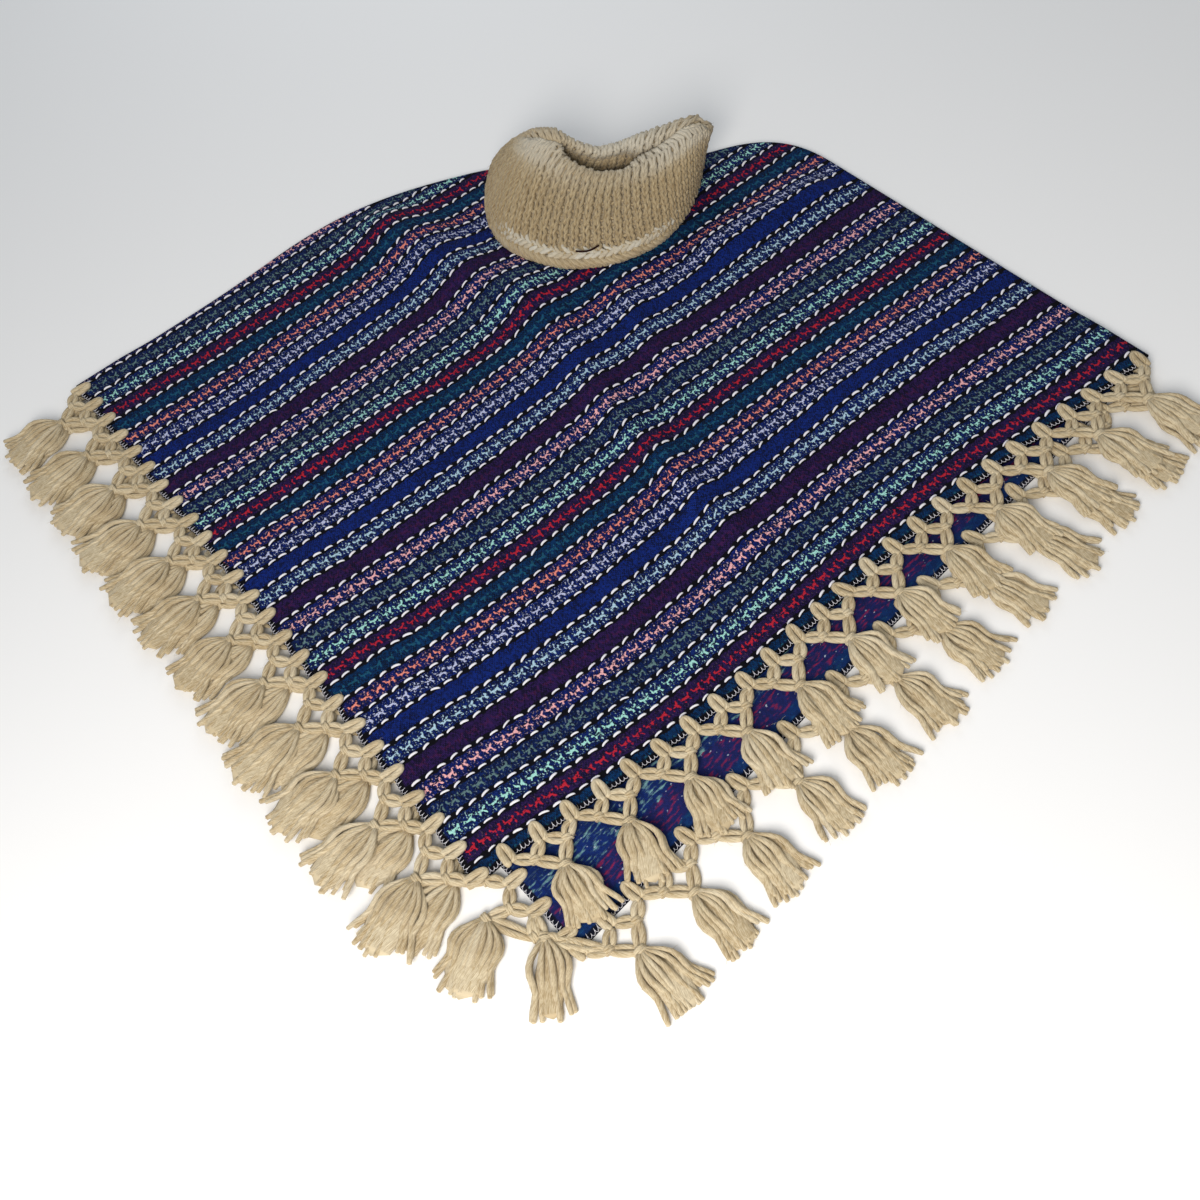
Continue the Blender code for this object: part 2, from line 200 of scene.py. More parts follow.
# %% A basket that gathers yarn tubes into one mesh
FLOOR_SKIN = 0.0002         # yarn is pressed flat this far above the floor
YARN_TURN = 90.0            # how fast two plies wind round each other, in radians a metre
HAIR = 0.00012              # radius of a stray hair


class Basket:
    """Tubes of yarn, gathered to become one mesh."""

    def __init__(self):
        self.points, self.faces, self.maps, self.tints = [], [], [], []
        self.skins = []
        self.count = 0

    def lay(self, paths, radii, ups, sides=8, squash=1.0, tints=None, twist=0.0):
        """Add n tubes through paths (n, k, 3), with radii (k) or (n, k) and up directions."""
        paths = np.asarray(paths, float)
        n, k, _ = paths.shape
        radii = np.broadcast_to(np.asarray(radii, float), (n, k))
        ups = np.broadcast_to(np.asarray(ups, float), (n, k, 3))
        along = np.gradient(paths, axis=1)
        along /= np.linalg.norm(along, axis=2, keepdims=True) + 1e-12
        across = np.cross(along, ups)
        across /= np.linalg.norm(across, axis=2, keepdims=True) + 1e-12
        ups = np.cross(across, along)
        steps = np.linalg.norm(np.diff(paths, axis=1), axis=2)
        runs = np.concatenate([np.zeros((n, 1)), np.cumsum(steps, axis=1)], axis=1)
        turn = 2.0 * math.pi * np.arange(sides) / sides
        thick = radii[:, :, None] * (1.0 + twist * np.cos(2.0 * (turn - YARN_TURN * runs[:, :, None])))
        side = (np.cos(turn) * thick)[..., None] * across[:, :, None]
        rise = (np.sin(turn) * thick * squash)[..., None] * ups[:, :, None]
        rings = paths[:, :, None] + side + rise
        ends = np.stack([paths[:, 0] - along[:, 0] * radii[:, :1] * 0.5,
                         paths[:, -1] + along[:, -1] * radii[:, -1:] * 0.5], axis=1)
        self.points.append(np.concatenate([rings.reshape(n, -1, 3), ends], axis=1).reshape(-1, 3))
        self.skins.append((rings.reshape(-1, 3), (rings - paths[:, :, None]).reshape(-1, 3),
                           np.repeat(along.reshape(-1, 3), sides, axis=0)))
        each = k * sides + 2
        first = self.count + each * np.arange(n)
        ring, spoke = np.meshgrid(np.arange(k - 1), np.arange(sides), indexing="ij")
        here, after = ring * sides + spoke, ring * sides + (spoke + 1) % sides
        quads = np.stack([here, after, after + sides, here + sides], axis=-1).reshape(-1, 4)
        self.faces.append((first[:, None, None] + quads).reshape(-1, 4))
        spots, last = np.arange(sides), (k - 1) * sides
        beside = (spots + 1) % sides
        low = np.stack([beside, spots, np.full(sides, k * sides)], -1)
        top = np.stack([last + spots, last + beside, np.full(sides, k * sides + 1)], -1)
        caps = np.concatenate([low, top])
        self.faces.append((first[:, None, None] + caps).reshape(-1, 3))
        around = np.stack([spoke, spoke + 1, spoke + 1, spoke], axis=-1).reshape(-1, 4) / sides
        length = runs[:, [ring, ring, ring + 1, ring + 1]]
        length = np.moveaxis(length, 1, -1).reshape(n, -1, 4)
        girth = 2.0 * math.pi * radii.max()
        self.maps.append(np.stack([np.broadcast_to(around * girth, length.shape), length], -1).reshape(-1, 2))
        self.maps.append(np.zeros((n * len(caps) * 3, 2)))
        shade = draw.random((n, 1)) if tints is None else np.asarray(tints, float)
        shade = np.broadcast_to(shade, (n, k))
        shade = np.concatenate([np.repeat(shade, sides, axis=1), shade[:, [0, -1]]], axis=1)
        self.tints.append(shade.ravel())
        self.count += n * each

    def fuzz(self, count, length):
        """Add fine stray hairs that stand off the tubes laid so far."""
        skin, outs, along = [np.concatenate(part) for part in zip(*self.skins)]
        picked = draw.choice(np.flatnonzero(outs[:, 2] > -0.2 * np.linalg.norm(outs, axis=1)), count)
        out = outs[picked] / np.linalg.norm(outs[picked], axis=1, keepdims=True)
        long = length * draw.uniform(0.5, 1.2, (count, 1, 1))
        share = np.linspace(0.0, 1.0, 3)[:, None]
        lean = along[picked] * draw.choice((-1.0, 1.0), (count, 1)) + draw.normal(0.0, 0.35, (count, 3))
        bend = out[:, None] * (0.9 * share - 0.55 * share ** 2) + lean[:, None] * share
        paths = skin[picked][:, None] + long * bend
        self.lay(paths, HAIR * np.array((1.0, 0.9, 0.5)), out[:, None], sides=3, tints=0.0)

    def cut(self, name, press=None):
        """The gathered tubes as one object, its points first passed through press."""
        points = np.concatenate(self.points)
        points = points if press is None else press(points)
        points[:, 2] = np.maximum(points[:, 2], FLOOR_SKIN)
        piece = mesh_piece(name, points, self.faces, np.concatenate(self.maps))
        tint = piece.data.attributes.new("tint", "FLOAT", "POINT")
        tint.data.foreach_set("value", np.concatenate(self.tints))
        return piece


print("stray hairs are", round(HAIR * 2000.0, 2), "mm thick")

# %% [markdown]
# Tubes and cloths alike end as plain meshes with one map, called cloth, which the finishes read.
# A cloth is modelled as a thin skin, and a Solidify modifier gives it its thickness.


# %% Make objects from points and faces
def mesh_piece(name, points, faces, maps):
    """An object from points, a list of face arrays, and one map place for each face corner."""
    mesh = bpy.data.meshes.new(name)
    mesh.from_pydata(points.tolist(), [], [face for block in faces for face in block.tolist()])
    layer = mesh.uv_layers.new(name="cloth")
    layer.uv.foreach_set("vector", np.asarray(maps, np.float32).ravel())
    mesh.shade_smooth()
    return in_scene(name, mesh)


def thicken(piece, thickness):
    """Give a sheet its thickness, inwards from its face."""
    body = piece.modifiers.new("cloth", "SOLIDIFY")
    body.thickness = thickness
    body.offset = -1.0
    return piece


# %% [markdown]
# ## How the front lies
# The front is not a flat square. Its shoulders curve in to the neck, soft folds run across it,
# the collar pulls it up, and its stripes wander where the cloth was tugged. Each of these is a
# small formula over the cloth's own coordinates, as a simulation would be hard to steer
# towards one particular set of folds.

# %% Outline of the collar and the shoulders
NECK_LOOP = dict(middle=-0.008, wide=0.139, ends=0.935, sag=0.050, front=0.130, back=0.040, square=2.6)
FOLD_LOOP = dict(middle=0.0235, wide=0.1135, ends=0.922, sag=0.052, front=0.0195, back=0.0195, square=2.2)
LEFT_SHOULDER = dict(start=0.36, power=2.2, middle=0.009, tip=0.009)
RIGHT_SHOULDER = dict(start=0.45, power=3.3, middle=0.0, tip=0.015)
SHOULDER_ANGLE = math.radians(35.0)     # where a shoulder line meets the collar's oval
SWELL_AT = 0.33             # along a shoulder line from its hem, where its middle swells out
SWELL_REACH = 0.09
TIP_REACH = 0.05


def floor_place(u, v):
    """Cloth coordinates, after any drift, to x and y."""
    return CORNER[0] + (u - v) * HALF_ROOT, CORNER[1] + (u + v) * HALF_ROOT


def collar_loop(angle, inset, rise):
    """x and y of the collar seen from above; rise is 0 at the neck and 1 at the fold."""
    size = {key: NECK_LOOP[key] + (FOLD_LOOP[key] - NECK_LOOP[key]) * rise for key in NECK_LOOP}
    power = 2.0 / size["square"]
    cos, sin = np.cos(angle), np.sin(angle)
    deep = np.where(sin > 0.0, size["back"], size["front"]) - inset
    across = np.sign(cos) * np.abs(cos) ** power * (size["wide"] - inset)
    back = np.sign(sin) * np.abs(sin) ** power * deep
    spine = size["ends"] - size["sag"] * (1.0 - (across / size["wide"]) ** 2)
    return CORNER[0] + size["middle"] + across, CORNER[1] + spine + back


def cloth_place(x, y):
    """x and y back to cloth coordinates."""
    x, y = x - CORNER[0], y - CORNER[1]
    return (x + y) * HALF_ROOT, (y - x) * HALF_ROOT


def shoulder_tip(left):
    """Where a shoulder line meets the collar: distance from its hem, and how far in it is."""
    u, v = cloth_place(*collar_loop(math.pi - SHOULDER_ANGLE if left else SHOULDER_ANGLE, 0.0, 0.0))
    return (u, SIDE - v) if left else (v, SIDE - u)


def shoulder_drop(distance, left):
    """How far a shoulder line has curved in, at a distance along it from the hem."""
    reach, drop = shoulder_tip(left)
    curve = LEFT_SHOULDER if left else RIGHT_SHOULDER
    share = np.clip((distance - curve["start"]) / (reach - curve["start"]), 0.0, 1.0)
    swell = curve["middle"] * np.exp(-((distance - SWELL_AT) / SWELL_REACH) ** 2)
    swell = swell + curve["tip"] * np.exp(-((distance - reach) / TIP_REACH) ** 2)
    return drop * share ** curve["power"] - swell


def past_tips(u, v):
    """True behind the collar, past the ends of both shoulder lines."""
    return (u > shoulder_tip(True)[0]) & (v > shoulder_tip(False)[0])


def neck_radius(x, y, inset=0.0):
    """1 on the collar's outer edge, moved in by inset; less inside it."""
    across = x - CORNER[0] - NECK_LOOP["middle"]
    spine = NECK_LOOP["ends"] - NECK_LOOP["sag"] * (1.0 - np.minimum(1.0, (across / NECK_LOOP["wide"]) ** 2))
    behind = y - CORNER[1] - spine
    deep = np.where(behind > 0.0, NECK_LOOP["back"], NECK_LOOP["front"]) - inset
    power = NECK_LOOP["square"]
    total = np.abs(across / (NECK_LOOP["wide"] - inset)) ** power + np.abs(behind / deep) ** power
    return total ** (1.0 / power), behind, across


print("left shoulder meets the collar", round(float(shoulder_tip(True)[0]), 3), "m from its hem")

# %% [markdown]
# Over that outline lie the folds, each a soft ridge from one point of the cloth to another, and
# the places where the cloth was tugged sideways. The hems bow out a little between the hooks.

# %% Folds and drifts of the front
NECK_HUMP = 0.010           # how far the collar pulls the front up
NECK_HUMP_REACH = 0.070
EDGE_EASE = 0.05            # folds and ripples fade out towards the edges
RIPPLE_EASE = 0.03
RIPPLE = 0.0005
SCALLOP = 0.0030            # how far a hem bows out between its hooks
HOOK_PULL = 0.0005          # and in at each of them
SCALLOP_REACH = 0.022
DRIFT_END = 0.70            # the cloth isn't tugged beyond this
FOLDS = (
    dict(start=(0.405, 0.86), end=(0.455, 0.50), height=0.020, half=0.042),
    dict(start=(0.470, 0.60), end=(0.420, 0.33), height=0.010, half=0.030),
    dict(start=(0.430, 0.40), end=(0.405, 0.07), height=0.012, half=0.021),
    dict(start=(0.620, 0.46), end=(0.860, 0.43), height=0.013, half=0.030),
    dict(start=(0.545, 0.50), end=(0.500, 0.31), height=0.008, half=0.024),
    dict(start=(0.060, 0.56), end=(0.330, 0.50), height=0.006, half=0.030),
    dict(start=(0.560, 0.20), end=(0.780, 0.14), height=0.005, half=0.034),
)
DRIFTS = (
    dict(at=(0.24, 0.05), reach=(0.16, 0.45), shift=-0.011),
    dict(at=(0.58, 0.05), reach=(0.17, 0.22), shift=0.008),
    dict(at=(0.03, 0.10), reach=(0.09, 0.60), shift=0.004),
    dict(at=(0.08, 0.70), reach=(0.20, 0.20), shift=-0.014),
)


def drift(u, v):
    """How far the cloth has been tugged along v."""
    fade = (1.0 - ease(u, DRIFT_END, SIDE)) * (1.0 - ease(v, DRIFT_END, SIDE))
    return fade * sum(spot["shift"] * bump(u, v, spot) for spot in DRIFTS)


def edge_distance(u, v):
    """Distance from a point of the front to its nearest edge, or 0 behind the collar."""
    x, y = floor_place(u, v)
    _, _, across = neck_radius(x, y)
    behind = (y - CORNER[1] > NECK_LOOP["ends"]) & (np.abs(across) < NECK_LOOP["wide"])
    behind |= past_tips(u, v)
    near = np.minimum(np.minimum(u, v), SIDE - shoulder_drop(v, False) - u)
    return np.where(behind, 0.0, np.minimum(near, SIDE - shoulder_drop(u, True) - v))


def fold_height(u, v):
    """Height that the soft folds add."""
    total = 0.0
    for fold in FOLDS:
        start, end = np.array(fold["start"]), np.array(fold["end"])
        along = end - start
        length = np.hypot(*along)
        share = ((u - start[0]) * along[0] + (v - start[1]) * along[1]) / length ** 2
        off = ((u - start[0]) * along[1] - (v - start[1]) * along[0]) / length
        window = ease(share, -0.05, 0.25) * (1.0 - ease(share, 0.70, 1.05))
        total = total + fold["height"] * window * np.exp(-(off / fold["half"]) ** 2)
    return total


def front_low(u, v):
    """Height of the underside of the front."""
    hem = np.minimum(u, v)
    level = FRONT_HEM_LOW + (FRONT_LOW - FRONT_HEM_LOW) * ease(hem, HEM_FLAT, HEM_EASE)
    inner = ease(edge_distance(u, v), 0.0, EDGE_EASE) * ease(hem, HEM_FLAT, HEM_EASE)
    x, y = floor_place(u, v)
    radius, _, across = neck_radius(x, y)
    middle = 1.0 - ease(np.abs(across) / NECK_LOOP["wide"], 0.3, 0.95)
    away = np.maximum(0.0, (radius - 1.0) * NECK_LOOP["front"])
    hump = NECK_HUMP * middle * np.exp(-(away / NECK_HUMP_REACH) ** 2)
    return level + fold_height(u, v) * inner + hump


def ripple(u, v):
    """Small unevenness of laid cloth, about a millimetre."""
    waves = 0.5 * np.sin(61.0 * u + 9.0 * v + 0.6) + 0.45 * np.sin(23.0 * u - 47.0 * v + 2.1)
    waves = waves + 0.35 * np.sin(96.0 * u + 71.0 * v) + 0.3 * np.sin(37.0 * u + 118.0 * v + 4.0)
    return RIPPLE * waves


def scallop(along, inward):
    """How far the hem bows out at a distance along it, fading inwards."""
    bow = SCALLOP * np.abs(np.sin(math.pi * along / HOOK_PITCH)) - HOOK_PULL
    return bow * (1.0 - ease(inward, 0.0, SCALLOP_REACH))


def front_place(u, v):
    """Points on top of the front cloth, for cloth coordinates before the drift."""
    v_laid = v + drift(u, v) - scallop(u, v)
    x, y = floor_place(u - scallop(v, u), v_laid)
    inside = ease(edge_distance(u, v), 0.0, RIPPLE_EASE)
    z = front_low(u, v_laid) + CLOTH + ripple(u, v) * inside
    return np.stack([x, y, z], axis=-1)


print("folds:", len(FOLDS), "drifts:", len(DRIFTS))

# %% [markdown]
# ## The front cloth
# A grid in cloth coordinates keeps the stripes straight along its rows, and each corner's
# place on the map is its own u and v, so the weave follows every fold without stretching.
# Faces under the collar are left out. A Solidify modifier then gives the cloth its thickness.

# %% Weave the front
GRID = 0.0055
ROW_STEP = 0.025015         # distance between rows of white floats
ROW_ZERO = 0.0160           # the first row above the hem
ROW_SHARES = (1.000, 1.012, 1.028, 1.010, 1.080, 0.970, 0.990, 1.000, 0.930, 0.980)
REPEAT = len(ROW_SHARES) * ROW_STEP
NECK_TUCK = 0.0180          # how far the front reaches under the collar
LEFT_FADE = (0.60, 0.71)    # past its tip, a shoulder's curve fades out again
RIGHT_FADE = (0.61, 0.72)


def even_rows(v):
    """v with the stripes made equally wide, which the material's pattern expects."""
    edges = np.concatenate([[0.0], np.cumsum(ROW_SHARES)]) / sum(ROW_SHARES)
    count = np.floor((v - ROW_ZERO) / REPEAT)
    within = (v - ROW_ZERO) / REPEAT - count
    return ROW_ZERO + REPEAT * (count + np.interp(within, edges, np.linspace(0.0, 1.0, len(edges))))


def real_rows(count):
    """v of each row of floats."""
    edges = np.concatenate([[0.0], np.cumsum(ROW_SHARES)[:-1]]) / sum(ROW_SHARES)
    repeats, rows = np.divmod(np.arange(count), len(ROW_SHARES))
    return ROW_ZERO + REPEAT * (repeats + edges[rows])


def grid_faces(rows, columns):
    """Quads of a grid of points, rows by columns."""
    i, j = np.meshgrid(np.arange(rows - 1), np.arange(columns - 1), indexing="ij")
    here = i * columns + j
    return np.stack([here, here + 1, here + columns + 1, here + columns], axis=-1).reshape(-1, 4)


def cloth_piece(name, points, maps, keep):
    """A cloth from a grid of points (rows, columns, 3) and its map, keeping some of its faces."""
    faces = grid_faces(*points.shape[:2])
    faces = faces[keep(points.reshape(-1, 3)[faces].mean(axis=1))]
    used, renumbered = np.unique(faces, return_inverse=True)
    faces = renumbered.reshape(faces.shape)
    flat_maps = maps.reshape(-1, 2)[used]
    piece = mesh_piece(name, points.reshape(-1, 3)[used], [faces], flat_maps[faces].reshape(-1, 2))
    return thicken(piece, CLOTH)


def make_front():
    """The front cloth on its grid."""
    steps = round(SIDE / GRID)
    b, a = np.meshgrid(*[np.linspace(0.0, SIDE, steps + 1)] * 2, indexing="ij")
    u = a - shoulder_drop(b, False) * ease(a, 0.5 * SIDE, SIDE) * (1.0 - ease(b, *RIGHT_FADE))
    v = b - shoulder_drop(a, True) * ease(b, 0.5 * SIDE, SIDE) * (1.0 - ease(a, *LEFT_FADE))

    def keep(middles):
        radius, behind, across = neck_radius(middles[:, 0], middles[:, 1], NECK_TUCK)
        past = past_tips(*cloth_place(middles[:, 0], middles[:, 1]))
        past |= (behind > 0.0) & (np.abs(across) < NECK_LOOP["wide"] - NECK_TUCK)
        return (radius > 1.0) & ~past
    return cloth_piece("front_cloth", front_place(u, v), np.stack([u, even_rows(v)], -1), keep)


front_cloth = make_front()
print("front faces:", len(front_cloth.data.polygons))

# %% [markdown]
# ## The back cloth
# The back lies lower, flat on the floor, and shows its brushed inner face below the front's
# right hem. It is the same square with its fringed corner pulled down, so its grid is simply
# stretched between four corners.


# %% Weave the back
BACK_GRID = 0.0085
BACK_TUCK = 0.006           # how far the back ends inside the collar's rear foot
BACK_WAVE = 0.0012          # height of the waves in the strip that shows


def back_place(a, b):
    """Points on top of the back cloth; a and b run from 0 to 1 along its hems."""
    u = (1 - a) * (1 - b) * BACK_CORNER[0] + a * (1 - b) * SIDE + a * b * SIDE
    v = (1 - a) * (1 - b) * BACK_CORNER[1] + (1 - a) * b * SIDE + a * b * SIDE
    u = u - shoulder_drop(v, False) * ease(a, 0.5, 1.0)
    v = v - shoulder_drop(u, True) * ease(b, 0.5, 1.0)
    x, y = floor_place(u, v)
    shown = (1.0 - ease(v, -0.012, 0.0)) * ease(v + 0.2 * u + 0.10, 0.0, 0.03)
    wave = BACK_WAVE * (1.0 + np.sin(70.0 * a + 9.0 * b)) * shown
    return np.stack([x, y, CLOTH + wave], axis=-1)


def make_back():
    """The back cloth on its grid."""
    steps = round(SIDE / BACK_GRID)
    b, a = np.meshgrid(*[np.linspace(0.0, 1.0, steps + 1)] * 2, indexing="ij")

    def keep(middles):
        radius, behind, across = neck_radius(middles[:, 0], middles[:, 1], BACK_TUCK)
        return ~((behind > 0.0) & (np.abs(across) < NECK_LOOP["wide"]) & (radius > 1.0))
    return cloth_piece("back_cloth", back_place(a, b), np.stack([a, b], -1) * SIDE, keep)


back_cloth = make_back()
print("back faces:", len(back_cloth.data.polygons))

# %% [markdown]
# ## Overcast hems
# The cut edges are overcast with a thin pale thread, so that they can't fray under the hooks.
# It runs as slanted loops over the edge, on the front's two hems and on the back's two.

# %% Overcast the hems
OVERCAST_PITCH = 0.0042
OVERCAST_REACH = 0.0062
OVERCAST_THREAD = 0.00024
OVERCAST_ENDS = 0.012       # bare length at each end of a hem
OVERCAST_POINTS = 6         # to one loop


def overcast_paths(length):
    """Distances along and in from the edge, for one long looped thread."""
    step = OVERCAST_PITCH / OVERCAST_POINTS
    turns = np.arange(OVERCAST_ENDS, length - OVERCAST_ENDS, step) / OVERCAST_PITCH
    phase = 2.0 * math.pi * turns
    deep = OVERCAST_REACH * (0.75 + 0.25 * np.sin(turns * 2.3)) * (0.5 - 0.5 * np.cos(phase))
    return OVERCAST_PITCH * (turns + 0.22 * np.sin(phase) + 0.30 * deep / OVERCAST_REACH), deep


def make_overcast():
    """The overcast threads of the four hems."""
    basket = Basket()
    along, deep = overcast_paths(SIDE)
    for place, whole, lift in ((front_place, 1.0, 0.0003), (back_place, SIDE, 0.0002)):
        for first, second in ((along, deep), (deep, along)):
            path = place(first / whole, second / whole)
            path[:, 2] += lift
            basket.lay(path[None], OVERCAST_THREAD, UP, sides=4, tints=1.0)
    return basket.cut("overcast_thread")


overcast_thread = make_overcast()
print("overcast faces:", len(overcast_thread.data.polygons))

# %% [markdown]
# ## White floats
# Between two stripes the weaver lets a thick white thread float over a few warps, which makes
# the dashed rows. Each float is a short, fat, slightly arched strand that dives back into the
# cloth at its ends. As geometry, it catches the light as the real one does.

# %% Lay the rows of floats
FLOAT_PITCH = 0.01393
FLOAT_LENGTH = 0.0090
FLOAT_RADIUS = 0.00116
FLOAT_ROWS = 34
FLOAT_SHARES = np.array((-1.0, -0.72, -0.26, 0.26, 0.72, 1.0))      # from one end to the other
FLOAT_GIRTHS = np.array((0.50, 0.92, 1.04, 1.04, 0.92, 0.50))


def make_floats():
    """All the white floats of the front as one piece, and their number."""
    columns = np.arange(1, round(SIDE / FLOAT_PITCH)) * FLOAT_PITCH
    u, v = [grid.ravel() for grid in np.meshgrid(columns, real_rows(FLOAT_ROWS))]
    u = u + draw.normal(0.0, 0.0004, u.size)
    v = v + draw.normal(0.0, 0.00035, u.size)
    x, y = floor_place(u, v)
    clear = (edge_distance(u, v) > 0.006) & (neck_radius(x, y)[0] > 1.0)
    u, v = u[clear, None], v[clear, None]
    share = FLOAT_SHARES
    length = FLOAT_LENGTH * draw.uniform(0.86, 1.08, u.shape) / 2
    bow = 0.0005 * (1.0 - share ** 2) + draw.normal(0.0004, 0.0006, u.shape) * share
    path = front_place(u + length * share, v + bow)
    path[..., 2] += 0.0010 * (1.0 - share ** 4) - 0.0001
    radii = FLOAT_RADIUS * FLOAT_GIRTHS * draw.uniform(0.82, 1.15, u.shape)
    basket = Basket()
    basket.lay(path, radii, UP, sides=5, squash=0.85)
    return basket.cut("white_floats"), len(u)


white_floats, float_count = make_floats()
print("floats:", float_count)

# %% [markdown]
# ## The collar
# The collar is a knit tube folded over once. Its surface is one sheet that runs from the lower
# edge up the outside, over the fold and down the inside. A loop of the collar seen from above
# is a squashed oval, spaced here by real length, so that every knit stitch is as wide as the
# next.

# %% The collar's surface
COLLAR_WALL = 0.009         # thickness of the folded wall where the mouth is open
COLLAR_RISE = 0.078
LOBE_SWELL = 0.0110         # how much thicker the fold is where its walls press together
RIGHT_TUCK = 0.020          # how far the right side draws in below its fold
WALE_LEAN = 0.043           # how far the front's knit columns lean round the collar on their way up
WALL_PUFF = 0.0035          # how far the wall swells halfway up
TOP_SIDES = (-1.0, -0.8, -0.55, -0.3, -0.1, 0.2, 0.5, 0.8, 0.93, 1.0)
FRONT_TOPS = (-0.006, 0.006, 0.010, -0.004, -0.011, -0.010, -0.004, 0.006, 0.004, -0.007)
BACK_TOPS = (-0.006, 0.009, 0.015, 0.003, -0.003, 0.008, 0.010, 0.011, 0.005, -0.007)
COLLAR_SEAT = 0.0008
LINING = 0.0028             # thickness of the knit cloth behind the stitches
LINING_DEPTH = 0.0012       # and how far behind them it lies
LEAN_POWER = 1.35
STEP_DOWN = (math.radians(44.0), math.radians(58.0))


def even_turns():
    """Angles of the collar's oval at even steps of length along it, from 0 to 1 round it."""
    angles = np.linspace(0.0, 2.0 * math.pi, 6001)
    x, y = collar_loop(angles, 0.0, 0.35)
    lengths = np.concatenate([[0.0], np.cumsum(np.hypot(np.diff(x), np.diff(y)))])
    return angles, lengths / lengths[-1], lengths[-1]


TURN_ANGLES, TURN_SHARES, COLLAR_ROUND = even_turns()
PROFILE_OUT = COLLAR_RISE - COLLAR_WALL / 2
PROFILE_ARC = math.pi * COLLAR_WALL / 2
COLLAR_DEEP = 2 * PROFILE_OUT + PROFILE_ARC


def collar_base(angle, inset):
    """Height of the collar's lower edge."""
    u, v = cloth_place(*collar_loop(angle, inset, 0.0))
    on_front = np.maximum(front_low(u, v), FRONT_LOW) + CLOTH + COLLAR_SEAT
    behind = ease(np.sin(angle), *[math.sin(turn) for turn in STEP_DOWN])
    return on_front + (CLOTH + GAP - on_front) * behind


def collar_at(turn, run):
    """Points of the collar: turn is 0 to 1 round it, run is metres up, over and down inside."""
    turn, run = np.broadcast_arrays(turn, run)
    upright = ease(np.sin(2.0 * math.pi * turn), -0.3, 1.0)
    bend = np.clip((run - PROFILE_OUT) / PROFILE_ARC, 0.0, 1.0) * math.pi
    down = np.maximum(0.0, run - PROFILE_OUT - PROFILE_ARC)
    lean = WALE_LEAN * (1.0 - upright) * (np.minimum(run, PROFILE_OUT) - down) / PROFILE_OUT
    angle = np.interp(np.mod(turn - lean, 1.0), TURN_SHARES, TURN_ANGLES)
    side = np.cos(angle)
    pressed = np.maximum(ease(side, 0.10, 0.36) + ease(-side, 0.42, 0.62), ease(down, 0.004, 0.030))
    wall = COLLAR_WALL + LOBE_SWELL * pressed * ease(run, 0.5 * PROFILE_OUT, PROFILE_OUT) \
        * (1.0 - ease(down, 0.5 * PROFILE_OUT, 0.9 * PROFILE_OUT))
    height = np.minimum(run, PROFILE_OUT) + wall / 2 * np.sin(bend) - down
    share = np.clip(height / COLLAR_RISE, 0.0, 1.0)
    puff = WALL_PUFF * np.sin(math.pi * share) * (0.5 + 0.5 * np.cos(bend))
    inset = wall / 2 * (1.0 - np.cos(bend)) - puff
    behind = ease(np.sin(angle), -0.25, 0.25)
    top = COLLAR_RISE + (1.0 - behind) * np.interp(side, TOP_SIDES, FRONT_TOPS) \
        + behind * np.interp(side, TOP_SIDES, BACK_TOPS)
    x, y = collar_loop(angle, inset, share ** LEAN_POWER)
    x = x - RIGHT_TUCK * np.maximum(0.0, side) ** 2 * (1.0 - share) * (0.7 + share)
    low = collar_base(angle, np.clip(inset, 0.0, COLLAR_WALL))
    return np.stack([x, y, low + (top - low) * height / COLLAR_RISE], axis=-1)


def collar_normal(turn, run):
    """Directions straight out of the knit cloth."""
    step = 0.0006
    round_it = collar_at(turn + step, run) - collar_at(turn - step, run)
    up_it = collar_at(turn, run + step) - collar_at(turn, run - step)
    out = np.cross(round_it, up_it)
    return out / (np.linalg.norm(out, axis=-1, keepdims=True) + 1e-12)


def make_collar_lining():
    """The knit cloth behind the stitches, a closed sheet with its own thickness."""
    turns = np.linspace(0.0, 1.0, 181)[:-1]
    runs = np.linspace(0.0, COLLAR_DEEP, 41)
    run, turn = np.meshgrid(runs, turns, indexing="ij")
    points = collar_at(turn, run) - LINING_DEPTH * collar_normal(turn, run)
    columns = len(turns)
    here = np.arange((len(runs) - 1) * columns).reshape(-1, columns)
    after = np.roll(here, -1, axis=1)
    faces = np.stack([here, after, after + columns, here + columns], axis=-1).reshape(-1, 4)
    maps = np.stack([turn * COLLAR_ROUND, run], -1).reshape(-1, 2)[faces].reshape(-1, 2)
    return thicken(mesh_piece("collar_cloth", points.reshape(-1, 3), [faces], maps), LINING)


collar_cloth = make_collar_lining()
print("collar round", round(COLLAR_ROUND, 3), "deep", round(COLLAR_DEEP, 3))

# %% [markdown]
# ## Knit stitches
# Stocking stitch is one yarn that snakes along a row: up, round a head, down, round a foot.
# Its legs stand in front, so each stitch reads as a V, and every row hangs in the one below.
# Three sines make that path. Following it with a real tube gives true crossings and shadows.

# %% Knit the rows
WALES = 56
ROW_HEIGHT = 0.0060
LOOP_POINTS = 10
LOOP_WIDE = 0.20            # how far a head leans over its neighbours, as a share of a wale
LOOP_PINCH = 0.065          # how much closer together the two legs of one V stand
LOOP_TALL = 0.0052
LOOP_DEEP = 0.0016
YARN_RADIUS = 0.0023
FOLD_RUN = PROFILE_OUT + PROFILE_ARC / 2        # the top of the fold
SHEEN_REACH = 0.020        # how far from the fold the knit is painted paler, as painted sheen
